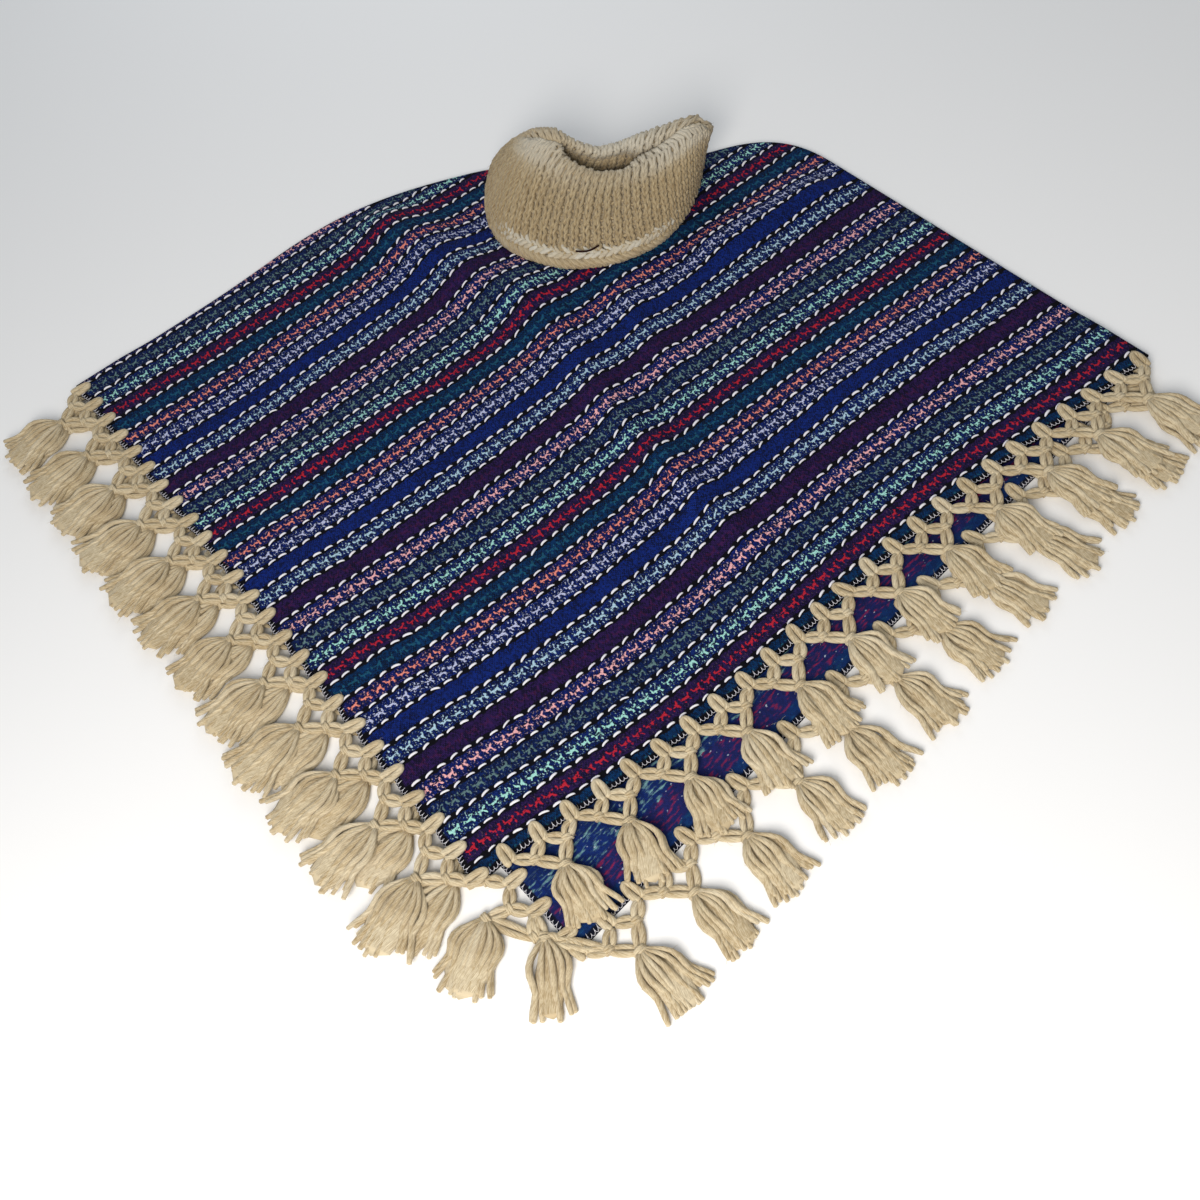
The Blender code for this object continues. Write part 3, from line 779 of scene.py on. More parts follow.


def knit_rows(name, first, last, hairs):
    """Rows of stitches between two runs of the collar, with some stray hairs."""
    rows = np.arange(first, last, ROW_HEIGHT)[:, None]
    phase = 2.0 * math.pi * np.arange(WALES * LOOP_POINTS + 1)[None] / LOOP_POINTS
    turn = phase / (2.0 * math.pi) + LOOP_WIDE * np.sin(2.0 * phase) - LOOP_PINCH * np.sin(phase)
    uneven = 0.0005 * np.sin(phase * 0.37 + rows * 900.0) + 0.0005 * np.sin(phase * 0.083 + rows * 400.0)
    run = np.clip(rows + LOOP_TALL * np.cos(phase) + uneven, 0.0008, COLLAR_DEEP - 0.0005)
    turn = (turn + 0.05 * np.sin(rows * 700.0 + phase * 0.11)) / WALES
    outs = collar_normal(turn, run)
    deep = -LOOP_DEEP * np.cos(2.0 * phase) + 0.0006 + draw.normal(0.0, 0.00025, run.shape)
    path = collar_at(turn, run) + outs * deep[..., None]
    # painted sheen: near the fold the tint drops, which paints the knit pale grey where its fuzz catches the
    # light
    painted_sheen = np.exp(-((run - FOLD_RUN) / SHEEN_REACH) ** 2)
    tints = 0.25 * draw.random((len(rows), 1)) + 0.35
    tints = tints - painted_sheen * (0.75 + 0.25 * np.sin(phase * 0.05 + rows * 60.0))
    radii = YARN_RADIUS * (1.0 + 0.08 * np.sin(phase * 0.61 + rows * 300.0))
    basket = Basket()
    basket.lay(path, radii, outs, sides=6, tints=tints)
    basket.fuzz(hairs, 0.0045)
    return basket.cut(name)


collar_outside = knit_rows("collar_stitches_outside", 0.004, FOLD_RUN, 1400)
collar_inside = knit_rows("collar_stitches_inside", FOLD_RUN + 0.002, 1.7 * PROFILE_OUT, 700)
print("stitch faces:", len(collar_outside.data.polygons), len(collar_inside.data.polygons))

# %% [markdown]
# The collar's lower edge is gathered by a cast-off band: two rows of pale strands that slant
# across each other, and a thicker row below them that reads as a rope. A small dark thread lies
# on it at the front.

# %% The cast-off band and the dark thread
PLAIT_TURN = 92             # strands in each row of the band
BAND_MIDDLE = 0.70          # where round the collar the band is widest
BAND_REACH = 0.20
# A tint below 0 paints the two upper rows pale grey as painted sheen; the rope row below keeps a darker tone.
BAND_ROWS = (
    dict(runs=(0.0100, 0.0190), slant=1.5, radius=0.0025, lift=0.0018, tint=-0.1),
    dict(runs=(0.0130, 0.0235), slant=-1.4, radius=0.0022, lift=0.0012, tint=-0.1),
    dict(runs=(0.0010, 0.0115), slant=-1.7, radius=0.0029, lift=0.0020, tint=0.9),
)
DARK_THREAD = dict(turn=(0.702, 0.735), run=(0.0185, 0.0225), sag=0.0020, lift=0.0108, radius=0.00115)


def lay_plait(basket, runs, slant, radius, lift, tint):
    """A row of short slanted strands round the collar."""
    share = np.linspace(0.0, 1.0, 8)
    start = np.arange(PLAIT_TURN)[:, None] + draw.normal(0.0, 0.06, (PLAIT_TURN, 1))
    turn = (start + slant * (share - 0.5) - 0.12 * slant * np.sin(2.0 * math.pi * share)) / PLAIT_TURN
    shown = np.exp(-((start / PLAIT_TURN - BAND_MIDDLE) / BAND_REACH) ** 4)
    run = runs[0] + (runs[1] - runs[0]) * share * (0.35 + 0.65 * shown)
    run = np.maximum(0.0008, run + draw.normal(0.0, 0.0007, (PLAIT_TURN, 1)))
    outs = collar_normal(turn, run)
    deep = -0.0028 + shown * (0.0036 + lift * np.sin(math.pi * share))
    path = collar_at(turn, run) + outs * deep[..., None]
    height = radius * (0.7 + 0.4 * np.sin(math.pi * share)) * draw.uniform(0.85, 1.15, (PLAIT_TURN, 1))
    basket.lay(path, height, outs, sides=8, tints=tint - 0.6 * draw.random((PLAIT_TURN, 1)))


def make_cast_off():
    """The band's three rows."""
    basket = Basket()
    for row in BAND_ROWS:
        lay_plait(basket, **row)
    basket.fuzz(1500, 0.0050)
    return basket.cut("cast_off_band")


def make_dark_thread():
    """A short curved thread on the band."""
    share = np.linspace(0.0, 1.0, 12)
    turn, run = [low + (high - low) * share for low, high in (DARK_THREAD["turn"], DARK_THREAD["run"])]
    run = run - DARK_THREAD["sag"] * np.sin(math.pi * share)
    outs = collar_normal(turn, run)
    path = collar_at(turn, run) + outs * DARK_THREAD["lift"]
    basket = Basket()
    basket.lay(path[None], DARK_THREAD["radius"], outs, sides=6, tints=0.5)
    return basket.cut("dark_thread")


cast_off_band = make_cast_off()
dark_thread = make_dark_thread()
print("cast-off faces:", len(cast_off_band.data.polygons))

# %% [markdown]
# ## The fringe
# Yarn is looped over the hem every 34 mm. From each hook, two doubled strands lead down to
# knots, and below every second hook they close a small diamond and end in a tassel. A doubled
# strand is pinched at both knots, so it bows out in the middle like a petal.

# %% Where the fringes run
TAB_REACH = 0.0095          # how far a hook reaches in over the hem
HOOK_HALF = 0.0036          # from the middle of a hook to the middle of its leg
HOOK_LEG = (0.0085, -0.0020)    # how far out a leg starts and ends
LEG_OUT = 0.0075            # a hook's leg ends this far out from the hem
LEG_SIDE = 0.0030           # and this far from its middle
LINK_NEAR = 0.0013          # half the distance between a link's two strands at its ends
LINK_BOW = 0.0020           # and how much more it is in the middle
KNOT_OUT = 0.019            # the small knots
KNOT_SIZE = 0.0042
WRAP_HALF = 0.0022          # half the length of a knot's wraps
WRAP_TURNS = 2.5
WRAP_POINTS = 21
WRAP_YARN = 0.0016
HEAD_OUT = 0.0385           # the knots at the heads of the tassels
HEAD_SIZE = 0.0060
NECK_OUT = 0.0405           # the tassels start here
LOCK_LENGTH = 0.0660
TASSEL_SPREAD = 22.0        # degrees to each side
TASSEL_STRANDS = (9, 7)     # in the lower layer and the upper one
LAYER_RISE = 0.0034
CORE = 0.0165               # half width of the soft mass inside a tassel
CORE_FLAT = 0.26            # and how flat it lies
DROP_START = 0.0125         # the yarn comes down from the hem's height over this reach
DROP_END = 0.026
RIGHT_SINK = 0.0017         # the front's right fringe lies lower near the corner
STRAND = 0.0031             # radius of one strand of the fringe yarn
FRINGES = (
    dict(name="fringe_front_left", start=(0.0, SIDE), end=(0.0, 0.0), side="front",
         inset=(0.014, 0.004), lean=(6, 4, 2, 0, 3, 6, 8, 6, 3, 5, 8, 24), long=1.15, full=1.35),
    dict(name="fringe_front_right", start=(0.0, 0.0), end=(SIDE, 0.0), side="front",
         inset=(0.034, 0.014), lean=(-12, -17, -8, -6, 0, 4, 4, 0, 4, 8, 8, 6)),
    dict(name="fringe_back_left", start=(0.0, SIDE), end=BACK_CORNER, side="back",
         inset=(0.018, 0.018), lean=(-3, 0, 3, 6, 4, 0, -3, 0, 4, 7, 9, 12, 34), last_shift=-0.024, long=1.10,
         full=1.35),
    dict(name="fringe_back_right", start=BACK_CORNER, end=(SIDE, 0.0), side="back",
         inset=(0.002, 0.018), lean=(-4, -2, -7, -3, -5, 0, 4, 8, 9, 7, 4, 2)),
)
LEVELS = {"front": (0.0101, 0.0097), "back": (0.0050, 0.0034)}   # middle of the yarn, at hem and net
CORNER_LEAN = math.radians(57.0)        # of the tassel at the back's corner
CORNER_HOOK = 0.018         # back from the corner to the last hook
CORNER_KNOT = (0.027, 0.0134)   # back from the corner and out to the corner's knot
COVERED_TOP = 0.0047        # top of the yarn where the back's hem lies under the front


class Hem:
    """One fringed hem: turns a distance along it and outwards into a place."""

    def __init__(self, spec):
        self.start = np.array(floor_place(*spec["start"]))
        run = np.array(floor_place(*spec["end"])) - self.start
        self.length = float(np.hypot(*run))
        self.along = run / self.length
        self.outward = np.array((self.along[1], -self.along[0]))
        self.first = spec["inset"][0]
        self.pitch = (self.length - sum(spec["inset"])) / len(spec["lean"])
        self.near, self.far = LEVELS[spec["side"]]
        self.lock = LOCK_LENGTH * spec.get("long", 1.0)
        self.full = spec.get("full", 1.0)
        self.bowed = spec["name"] == "fringe_front_right"

    def place(self, s, out, lift=0.0):
        """Points at s along the fringe, out from the hem, lifted above its middle."""
        s, out, lift = np.broadcast_arrays(np.asarray(s, float), out, lift)
        hem = self.first + s
        bow = -drift(hem, np.zeros_like(hem)) if self.bowed else 0.0
        level = self.near + (self.far - self.near) * ease(out, DROP_START, DROP_END)
        if self.bowed:
            level = level - RIGHT_SINK * (1.0 - ease(hem, 0.35, 0.55)) * ease(out, DROP_START, DROP_END)
        flat = self.start + hem[..., None] * self.along + (out + bow)[..., None] * self.outward
        return np.concatenate([flat, (level + lift)[..., None]], axis=-1)

    def locate(self, point):
        """The s and out of a point."""
        away = point[:2] - self.start
        return away @ self.along - self.first, away @ self.outward


print("hem lengths:", {spec["name"]: round(Hem(spec).length, 3) for spec in FRINGES})

# %% [markdown]
# Each link of the net goes from one point to another with its two strands side by side. They
# touch at the ends and stand apart in the middle, and the whole batch is laid in one call.


# %% Links, hooks and knots
def lay_links(basket, hem, starts, ends):
    """Doubled strands from each start to each end, both (n, 2) along and out."""
    share = np.linspace(0.0, 1.0, 7)
    run = ends - starts
    length = np.hypot(run[:, 0], run[:, 1])[:, None]
    side = np.stack([-run[:, 1], run[:, 0]], axis=1) / length
    sway = draw.normal(0.0, 0.0006, (len(run), 1)) * np.sin(math.pi * share)
    for way in (-1.0, 1.0):
        bow = way * (LINK_NEAR + LINK_BOW * np.sin(math.pi * share)) + sway
        at = starts[:, None] + run[:, None] * share[:, None] + side[:, None] * bow[..., None]
        lift = (0.0005 + 0.0004 * way) * np.sin(math.pi * share)
        path = hem.place(at[..., 0], at[..., 1], lift + draw.normal(0.0, 0.0002, (len(run), 1)))
        radii = STRAND * (0.78 + 0.28 * np.sin(math.pi * share)) * draw.uniform(0.92, 1.06, (len(run), 1))
        basket.lay(path, radii, UP, sides=8, twist=0.05)


def lay_hooks(basket, hem, count):
    """Fat loops over the hem, each an arch with two legs that almost touch."""
    middles = (np.arange(count) * hem.pitch / 2)[:, None]
    turn = np.linspace(0.0, math.pi, 9)
    legs = np.linspace(*HOOK_LEG, 5)
    half = HOOK_HALF * (1.0 - 0.25 * (legs > 0.006))
    s = np.concatenate([half, np.cos(turn[1:-1]) * HOOK_HALF, -half[::-1]])
    out = np.concatenate([legs, HOOK_LEG[1] - np.sin(turn[1:-1]) * TAB_REACH, legs[::-1]])
    lean = draw.normal(0.0, 0.10, middles.shape)
    path = hem.place(middles + s + lean * out, out + draw.normal(0.0, 0.0005, middles.shape))
    basket.lay(path, STRAND * 1.08, UP, sides=8, twist=0.05)


def lay_wraps(basket, hem, middles, ways, size):
    """Short tight wraps of yarn at the knots, round the direction ways."""
    turn = np.linspace(0.0, 2.0 * math.pi * WRAP_TURNS, WRAP_POINTS)
    shift = np.linspace(-WRAP_HALF, WRAP_HALF, WRAP_POINTS)
    side = np.stack([-ways[:, 1], ways[:, 0]], axis=1)
    at = middles[:, None] + ways[:, None] * shift[:, None] + side[:, None] * (size * np.cos(turn))[:, None]
    path = hem.place(at[..., 0], at[..., 1], 0.85 * size * np.sin(turn))
    core = hem.place(middles[:, None, 0], middles[:, None, 1])
    basket.lay(path, WRAP_YARN, path - core, sides=5)


# %% [markdown]
# A tassel is a fan of loose strands in two layers over a soft flat core, which closes the gaps
# between them. Strands differ in length, angle and girth, as cut yarn does.


# %% Tassels
def lay_tassels(basket, hem, necks, leans, spread=TASSEL_SPREAD, counts=TASSEL_STRANDS):
    """Fans of loose strands below the necks, which are (n, 2) along and out."""
    share = np.linspace(0.0, 1.0, 10)
    amount = len(necks)
    lengths = hem.lock * draw.uniform(0.94, 1.06, amount)
    reach = 0.86 * lengths[:, None] * share
    s = necks[:, :1] + reach * np.sin(leans)[:, None]
    out = necks[:, 1:] + reach * np.cos(leans)[:, None]
    swell = ease(share, -0.25, 0.55) * (1.0 - 0.30 * ease(share, 0.7, 1.0))
    core = hem.place(s, out, 0.0012 * np.sin(math.pi * share))
    bulk = spread / TASSEL_SPREAD * hem.full
    basket.lay(core, bulk * CORE * swell, UP, sides=12, squash=CORE_FLAT / bulk, twist=0.03)
    fan_reach = math.radians(spread) * (0.4 + 0.6 * hem.full)
    for layer, count in enumerate(counts):
        for index in range(count):
            fan = (index - (count - 1) / 2) / (count / 2)
            angle = leans + fan_reach * fan + draw.normal(0.0, 0.045, amount)
            length = lengths * draw.uniform(0.84, 1.0, amount) * (1.0 - 0.04 * abs(fan))
            shoulder = 0.0075 * hem.full * fan * np.sin(math.pi * np.minimum(1.0, share * 1.6))
            sway = draw.normal(0.0, 0.0014, (amount, 1)) * np.sin(math.pi * share * 1.6)
            reach = length[:, None] * share
            wide = shoulder + sway + 0.0036 * fan
            s = necks[:, :1] + reach * np.sin(angle)[:, None] + wide * np.cos(leans)[:, None]
            out = necks[:, 1:] + reach * np.cos(angle)[:, None] - wide * np.sin(leans)[:, None]
            arch = np.sin(math.pi * np.minimum(1.0, share * 1.3))
            lift = LAYER_RISE * layer - 0.0004 + (0.0022 + 0.0018 * layer) * arch - 0.002 * share * layer
            radii = STRAND * (0.60 + 0.28 * ease(share, 0.0, 0.35)) * draw.uniform(0.88, 1.12, (amount, 1))
            radii = radii * np.where(share > 0.97, 0.75, 1.0)
            basket.lay(hem.place(s, out, lift), radii, UP, sides=8, twist=0.06)


print("strands in a tassel:", sum(TASSEL_STRANDS))

# %% [markdown]
# The back's left fringe lies between the two cloths, so there its yarn is pressed flat. The
# back's corner has one more, narrow tassel, tied between its two hems.


# %% Whole fringes
def press_under_front(points):
    """Press flat whatever lies between the two cloths."""
    u, v = cloth_place(points[:, 0], points[:, 1])
    outside = -np.minimum(u, v - drift(u, np.zeros_like(u)))
    top = COVERED_TOP + 0.03 * ease(outside, 0.002, 0.014)
    return np.stack([points[:, 0], points[:, 1], np.minimum(points[:, 2], top)], axis=1)


def lay_corner(basket, hem):
    """The narrow tassel at the back's corner, tied between its two hems."""
    corner = hem.length - hem.first
    right = Hem(FRINGES[3])
    next_knot = hem.locate(right.place(right.pitch / 4, KNOT_OUT))
    last = corner - CORNER_HOOK
    knot = (corner - CORNER_KNOT[0], CORNER_KNOT[1])
    starts = np.array([(last - hem.pitch / 2, LEG_OUT), (last, 0.0060), knot])
    lay_links(basket, hem, starts, np.array([knot, knot, next_knot]))
    way = np.array([(math.sin(CORNER_LEAN), math.cos(CORNER_LEAN))])
    lay_wraps(basket, hem, np.array([knot]), way, 0.0055)
    lay_tassels(basket, hem, np.array([knot]), np.array([CORNER_LEAN]), 12.0, (5, 4))


def row_of(along, out):
    """Points at distances along a fringe, all equally far out."""
    return np.stack([along, np.full(len(along), out)], axis=1)


def make_fringe(spec):
    """One whole fringe."""
    hem = Hem(spec)
    count = len(spec["lean"])
    centers = (np.arange(count) + 0.5) * hem.pitch
    centers[-1] += spec.get("last_shift", 0.0)
    along = (np.arange(2 * count) + 0.5) * hem.pitch / 2
    knots = row_of(along, KNOT_OUT)
    basket = Basket()
    lay_hooks(basket, hem, 2 * count + 1)
    for way in (-1.0, 1.0):
        lay_links(basket, hem, row_of(along + way * (hem.pitch / 4 - LEG_SIDE), LEG_OUT), knots)
    lay_links(basket, hem, knots, row_of(np.repeat(centers, 2), HEAD_OUT))
    outward = np.tile((0.0, 1.0), (2 * count, 1))
    lay_wraps(basket, hem, knots, outward, KNOT_SIZE)
    lay_wraps(basket, hem, row_of(centers, HEAD_OUT + 0.001), outward[:count], HEAD_SIZE)
    lay_tassels(basket, hem, row_of(centers, NECK_OUT), np.radians(spec["lean"]))
    if spec["name"] == "fringe_back_left":
        lay_corner(basket, hem)
    basket.fuzz(700, 0.0050)
    press = press_under_front if spec["side"] == "back" else None
    return basket.cut(spec["name"].replace("fringe", "yarn"), press)


fringes = {spec["name"]: make_fringe(spec) for spec in FRINGES}
print("yarn faces:", {name: len(piece.data.polygons) for name, piece in fringes.items()})

# %% [markdown]
# ## Finishes
# A wool weave is matt, and what makes it read as wool is colour that changes from thread to
# thread and relief at the size of real threads. The small helpers below keep the node trees
# short to write.


# %% Node helpers
def srgb(red, green, blue):
    """A colour, 0 to 255, as the linear colour that a shader wants."""
    shares = np.array((red, green, blue)) / 255.0
    curved = ((shares + 0.055) / 1.055) ** 2.4
    return tuple(float(c) for c in np.where(shares <= 0.04045, shares / 12.92, curved))


def rgba(red, green, blue):
    """The same colour with the fourth value that a colour socket wants."""
    return (*srgb(red, green, blue), 1.0)


class Tree:
    """A node tree with short ways to add nodes."""

    def __init__(self, tree):
        self.tree = tree

    def add(self, kind, inputs=(), **settings):
        """A node of a kind, its settings, and its inputs as (socket, value or output)."""
        node = self.tree.nodes.new("ShaderNode" + kind)
        for key, value in settings.items():
            setattr(node, key, value)
        for socket, value in inputs:
            if isinstance(value, bpy.types.NodeSocket):
                self.tree.links.new(value, node.inputs[socket])
            elif value is not None:
                node.inputs[socket].default_value = value
        return node

    def math(self, operation, first, second=None, third=None, clamp=False):
        """One number from up to three."""
        values = [(i, value) for i, value in enumerate((first, second, third)) if value is not None]
        return self.add("Math", values, operation=operation, use_clamp=clamp).outputs[0]

    def times(self, first, second):
        """Two numbers multiplied."""
        return self.math("MULTIPLY", first, second)

    def plus(self, first, second):
        """Two numbers added."""
        return self.math("ADD", first, second)

    def minus(self, first, second):
        """The second number taken from the first."""
        return self.math("SUBTRACT", first, second)

    def vector(self, operation, first, second=None, scale=None):
        """A vector, or a number for DOT_PRODUCT and LENGTH, from vectors."""
        values = [(0, first), (1, second)] + ([("Scale", scale)] if scale is not None else [])
        node = self.add("VectorMath", values, operation=operation)
        return node.outputs["Value" if operation in ("DOT_PRODUCT", "LENGTH") else "Vector"]

    def mix(self, share, first, second, blend="MIX"):
        """A mix of two colours."""
        inputs = [(0, share), (6, first), (7, second)]
        return self.add("Mix", inputs, data_type="RGBA", blend_type=blend, clamp_factor=True).outputs[2]

    def smooth(self, value, low, high):
        """Smooth step from 0 at low to 1 at high, or the other way round."""
        inputs = [("Value", value), ("From Min", low), ("From Max", high)]
        return self.add("MapRange", inputs, interpolation_type="SMOOTHSTEP").outputs["Result"]

    def noise(self, vector, scale, detail=2.0, roughness=0.5):
        """Noise as a number round one half."""
        inputs = [("Vector", vector), ("Scale", scale), ("Detail", detail), ("Roughness", roughness)]
        return self.add("TexNoise", inputs).outputs["Fac"]

    def wander(self, vector, scale, detail, reach):
        """A small vector that changes from place to place, up to half of reach each way."""
        noise = self.add("TexNoise", [("Vector", vector), ("Scale", scale), ("Detail", detail)])
        centred = self.vector("SUBTRACT", noise.outputs["Color"], (0.5, 0.5, 0.5))
        return self.vector("SCALE", centred, scale=reach)

    def link(self, value, socket):
        """Connect an output to a socket."""
        self.tree.links.new(value, socket)


# %% [markdown]
# A node group is made once and placed in each material that needs it. These two helpers make
# one with named sockets and place one.


# %% Make and place a node group
def new_group(name, takes, gives):
    """An empty node group with named sockets, its tree, and its input and output nodes."""
    group = bpy.data.node_groups.new(name, "ShaderNodeTree")
    for socket, kind in takes:
        group.interface.new_socket(socket, in_out="INPUT", socket_type="NodeSocket" + kind)
    for socket, kind in gives:
        group.interface.new_socket(socket, in_out="OUTPUT", socket_type="NodeSocket" + kind)
    start, end = [group.nodes.new("NodeGroup" + way) for way in ("Input", "Output")]
    return group, Tree(group), start.outputs, end.inputs


def place_group(tree, group, inputs):
    """A group placed in a tree, as its outputs."""
    return tree.add("Group", inputs, node_tree=group).outputs


# %% [markdown]
# The stripes repeat every ten. Two stepped colour ramps hold each stripe's ground and its
# speckles, and a third says how much speckle it has. One group serves both cloths.

# %% The order of the stripes
STRIPES = (
    dict(ground=(44, 26, 82), accent=(190, 38, 56), motif=0.95, dots=0.10),     # red flecks
    dict(ground=(16, 42, 112), accent=(172, 232, 222), motif=0.95, dots=0.90),  # mint
    dict(ground=(14, 38, 96), accent=(104, 134, 136), motif=0.85, dots=0.50),   # grey-green
    dict(ground=(18, 36, 118), accent=(250, 186, 190), motif=0.97, dots=0.80),  # pink
    dict(ground=(48, 28, 84), accent=(130, 40, 84), motif=0.12, dots=0.0),      # purple
    dict(ground=(16, 42, 118), accent=(186, 220, 238), motif=0.92, dots=0.90),  # light blue
    dict(ground=(18, 44, 128), accent=(40, 70, 160), motif=0.08, dots=0.0),     # blue
    dict(ground=(16, 40, 118), accent=(200, 206, 240), motif=0.95, dots=1.0),   # lavender
    dict(ground=(22, 34, 112), accent=(246, 148, 132), motif=0.98, dots=0.50),  # salmon
    dict(ground=(8, 54, 102), accent=(48, 126, 152), motif=0.35, dots=0.0),     # teal
)


def stepped_ramp(tree, value, colors):
    """A ramp that gives each stripe one colour."""
    ramp = tree.add("ValToRGB", [(0, value)])
    ramp.color_ramp.interpolation = "CONSTANT"
    elements = ramp.color_ramp.elements
    while len(elements) < len(colors):
        elements.new(0.5)
    for index, color in enumerate(colors):
        elements[index].position = index / len(colors)
        elements[index].color = (*color, 1.0)
    return ramp.outputs[0]


def stripe_order():
    """Group: stripes counted from the first row of floats, to their colours and amounts."""
    group, tree, takes, gives = new_group(
        "stripe order", [("Stripe", "Float")],
        [("Ground", "Color"), ("Accent", "Color"), ("Motif", "Float"), ("Dots", "Float")])
    count = len(STRIPES)
    share = tree.math("FRACT", tree.math("DIVIDE", takes["Stripe"], float(count)))
    for name, key in (("Ground", "ground"), ("Accent", "accent")):
        colors = [srgb(*stripe[key]) for stripe in STRIPES]
        tree.link(stepped_ramp(tree, share, colors), gives[name])
    amounts = stepped_ramp(tree, share, [(stripe["motif"], stripe["dots"], 0.0) for stripe in STRIPES])
    parts = tree.add("SeparateColor", [(0, amounts)]).outputs
    tree.link(parts[0], gives["Motif"])
    tree.link(parts[1], gives["Dots"])
    return group


STRIPE_ORDER = stripe_order()
print("stripes in a repeat:", len(STRIPES))

# %% [markdown]
# A speckle is a small star of crossing floats. It is drawn as strokes: the distance from a
# point to a line from one end to the other, cut off at half the thread's width. The same
# stroke group is placed once for each line of the star.


# %% Strokes and speckles
def stroke_group():
    """Group: 1 on a stroke between two points, all in millimetres."""
    group, tree, takes, gives = new_group(
        "woven stroke", [("Point", "Vector"), ("From", "Vector"), ("To", "Vector"), ("Half width", "Float")],
        [("Mask", "Float"), ("Shadow", "Float")])
    ahead = tree.vector("SUBTRACT", takes["To"], takes["From"])
    here = tree.vector("SUBTRACT", takes["Point"], takes["From"])
    share = tree.math("DIVIDE", tree.vector("DOT_PRODUCT", here, ahead),
                      tree.vector("DOT_PRODUCT", ahead, ahead), clamp=True)
    off = tree.vector("LENGTH", tree.vector("SUBTRACT", here, tree.vector("SCALE", ahead, scale=share)))
    inner = tree.times(takes["Half width"], 0.72)
    outer = tree.times(takes["Half width"], 1.22)
    tree.link(tree.smooth(off, outer, inner), gives["Mask"])
    tree.link(tree.smooth(off, tree.plus(outer, 0.9), inner), gives["Shadow"])
    return group


STROKE = stroke_group()
MOTIF_STROKES = (
    ((-4.2, 0.6), (-0.5, -0.3), 1.15), ((-0.5, -0.3), (3.2, 0.3), 1.45), ((3.2, 0.1), (4.9, 3.2), 1.15),
    ((3.1, -0.4), (4.3, -4.0), 1.10), ((-3.9, 0.7), (-4.7, 3.4), 0.85), ((-1.2, 0.0), (-2.0, -3.2), 0.95),
)
DOT_STROKES = (
    ((-1.6, 6.0), (-1.2, 7.8), 0.62), ((2.2, 5.2), (2.6, 7.2), 0.70), ((-2.5, -5.8), (-2.1, -7.6), 0.66),
    ((1.6, -6.0), (1.9, -8.0), 0.62), ((-5.6, -4.4), (-5.2, -5.8), 0.55), ((0.7, 2.6), (1.1, 3.9), 0.50),
)


def speckle_group():
    """Group: a cell's point in millimetres, to the star's mask and the dots' mask."""
    group, tree, takes, gives = new_group(
        "speckles", [("Cell", "Vector")], [("Motif", "Float"), ("Dots", "Float"), ("Shadow", "Float")])
    shadow = None
    for name, strokes in (("Motif", MOTIF_STROKES), ("Dots", DOT_STROKES)):
        total = None
        for start, end, half in strokes:
            ends = [("From", (*start, 0.0)), ("To", (*end, 0.0)), ("Half width", half)]
            stroke = place_group(tree, STROKE, [("Point", takes["Cell"])] + ends)
            total = stroke["Mask"] if total is None else tree.math("MAXIMUM", total, stroke["Mask"])
            shadow = stroke["Shadow"] if shadow is None else tree.math("MAXIMUM", shadow, stroke["Shadow"])
        tree.link(total, gives[name])
    tree.link(shadow, gives["Shadow"])
    return group


SPECKLES = speckle_group()
print("strokes in a star:", len(MOTIF_STROKES) + len(DOT_STROKES))

# %% [markdown]
# The last group is the ground weave: warps a millimetre and a bit apart with a weft that goes
# over and under them. It gives a height for the relief and a shade that changes from thread to
# thread and is darker in the hollows between them, as painted shade.

# %% The ground weave
WARP_PITCH = 0.00135
WEFT_PITCH = 0.0019


def ground_weave_group():
    """Group: map place in metres, to height and shade of the ground weave."""
    group, tree, takes, gives = new_group(
        "ground weave", [("Place", "Vector")], [("Height", "Float"), ("Shade", "Float")])
    wobble = tree.wander(takes["Place"], 260.0, 1.0, 0.0010)
    parts = tree.add("SeparateXYZ", [(0, tree.vector("ADD", takes["Place"], wobble))]).outputs
    warp = tree.math("DIVIDE", parts[0], WARP_PITCH)
    weft = tree.math("DIVIDE", parts[1], WEFT_PITCH)
    parity = tree.times(tree.math("FLOOR", warp), math.pi)
    over = tree.math("SINE", tree.plus(tree.times(weft, math.pi), parity))
    thread = tree.math("ABSOLUTE", tree.math("SINE", tree.times(warp, math.pi)))
    height = tree.times(thread, tree.math("MULTIPLY_ADD", over, 0.35, 0.65))
    fibres = tree.noise(takes["Place"], 1900.0, 2.0)
    tree.link(tree.math("MULTIPLY_ADD", fibres, 0.35, height), gives["Height"])
    cell = tree.add("CombineXYZ", [(0, tree.math("FLOOR", warp)), (1, tree.math("FLOOR", weft))]).outputs[0]
    each = tree.add("TexWhiteNoise", [("Vector", cell)], noise_dimensions="2D").outputs["Value"]
    patches = tree.noise(takes["Place"], 55.0, 3.0)
    shade = tree.plus(tree.times(each, 0.55), tree.times(patches, 0.55))
    # painted shade: low places of the weave are darker, on top of each thread's random tone
    shade = tree.plus(tree.times(height, 0.55), shade)
    tree.link(shade, gives["Shade"])
    return group


GROUND_WEAVE = ground_weave_group()
print("ground weave:", round(0.01 / WARP_PITCH), "warps to a centimetre")

# %% [markdown]
# Every wool finish starts and ends the same way: a matt shader, the place on the cloth's map,
# and at the end a colour and a relief.


# %% Start and finish a wool material
def start_material(name, roughness):
    """A material, its tree helper, its shader and the place on the cloth's map."""
    made, shader = plain_material(name, (0.5, 0.5, 0.5), roughness)
    shader.inputs["Specular IOR Level"].default_value = 0.10
    tree = Tree(made.node_tree)
    return made, tree, shader, tree.add("UVMap", uv_map="cloth").outputs[0]


def finish_shader(tree, shader, color, height, distance):
    """Colour and relief on a shader."""
    tree.link(color, shader.inputs["Base Color"])
    relief = tree.add("Bump", [("Height", height), ("Distance", distance), ("Strength", 1.0)])
    tree.link(relief.outputs[0], shader.inputs["Normal"])


# %% [markdown]
# ## Striped cloth
# The map place gives a stripe number and a place inside the cell that one float and one star
# share. Black wool runs under the floats and shows between them.


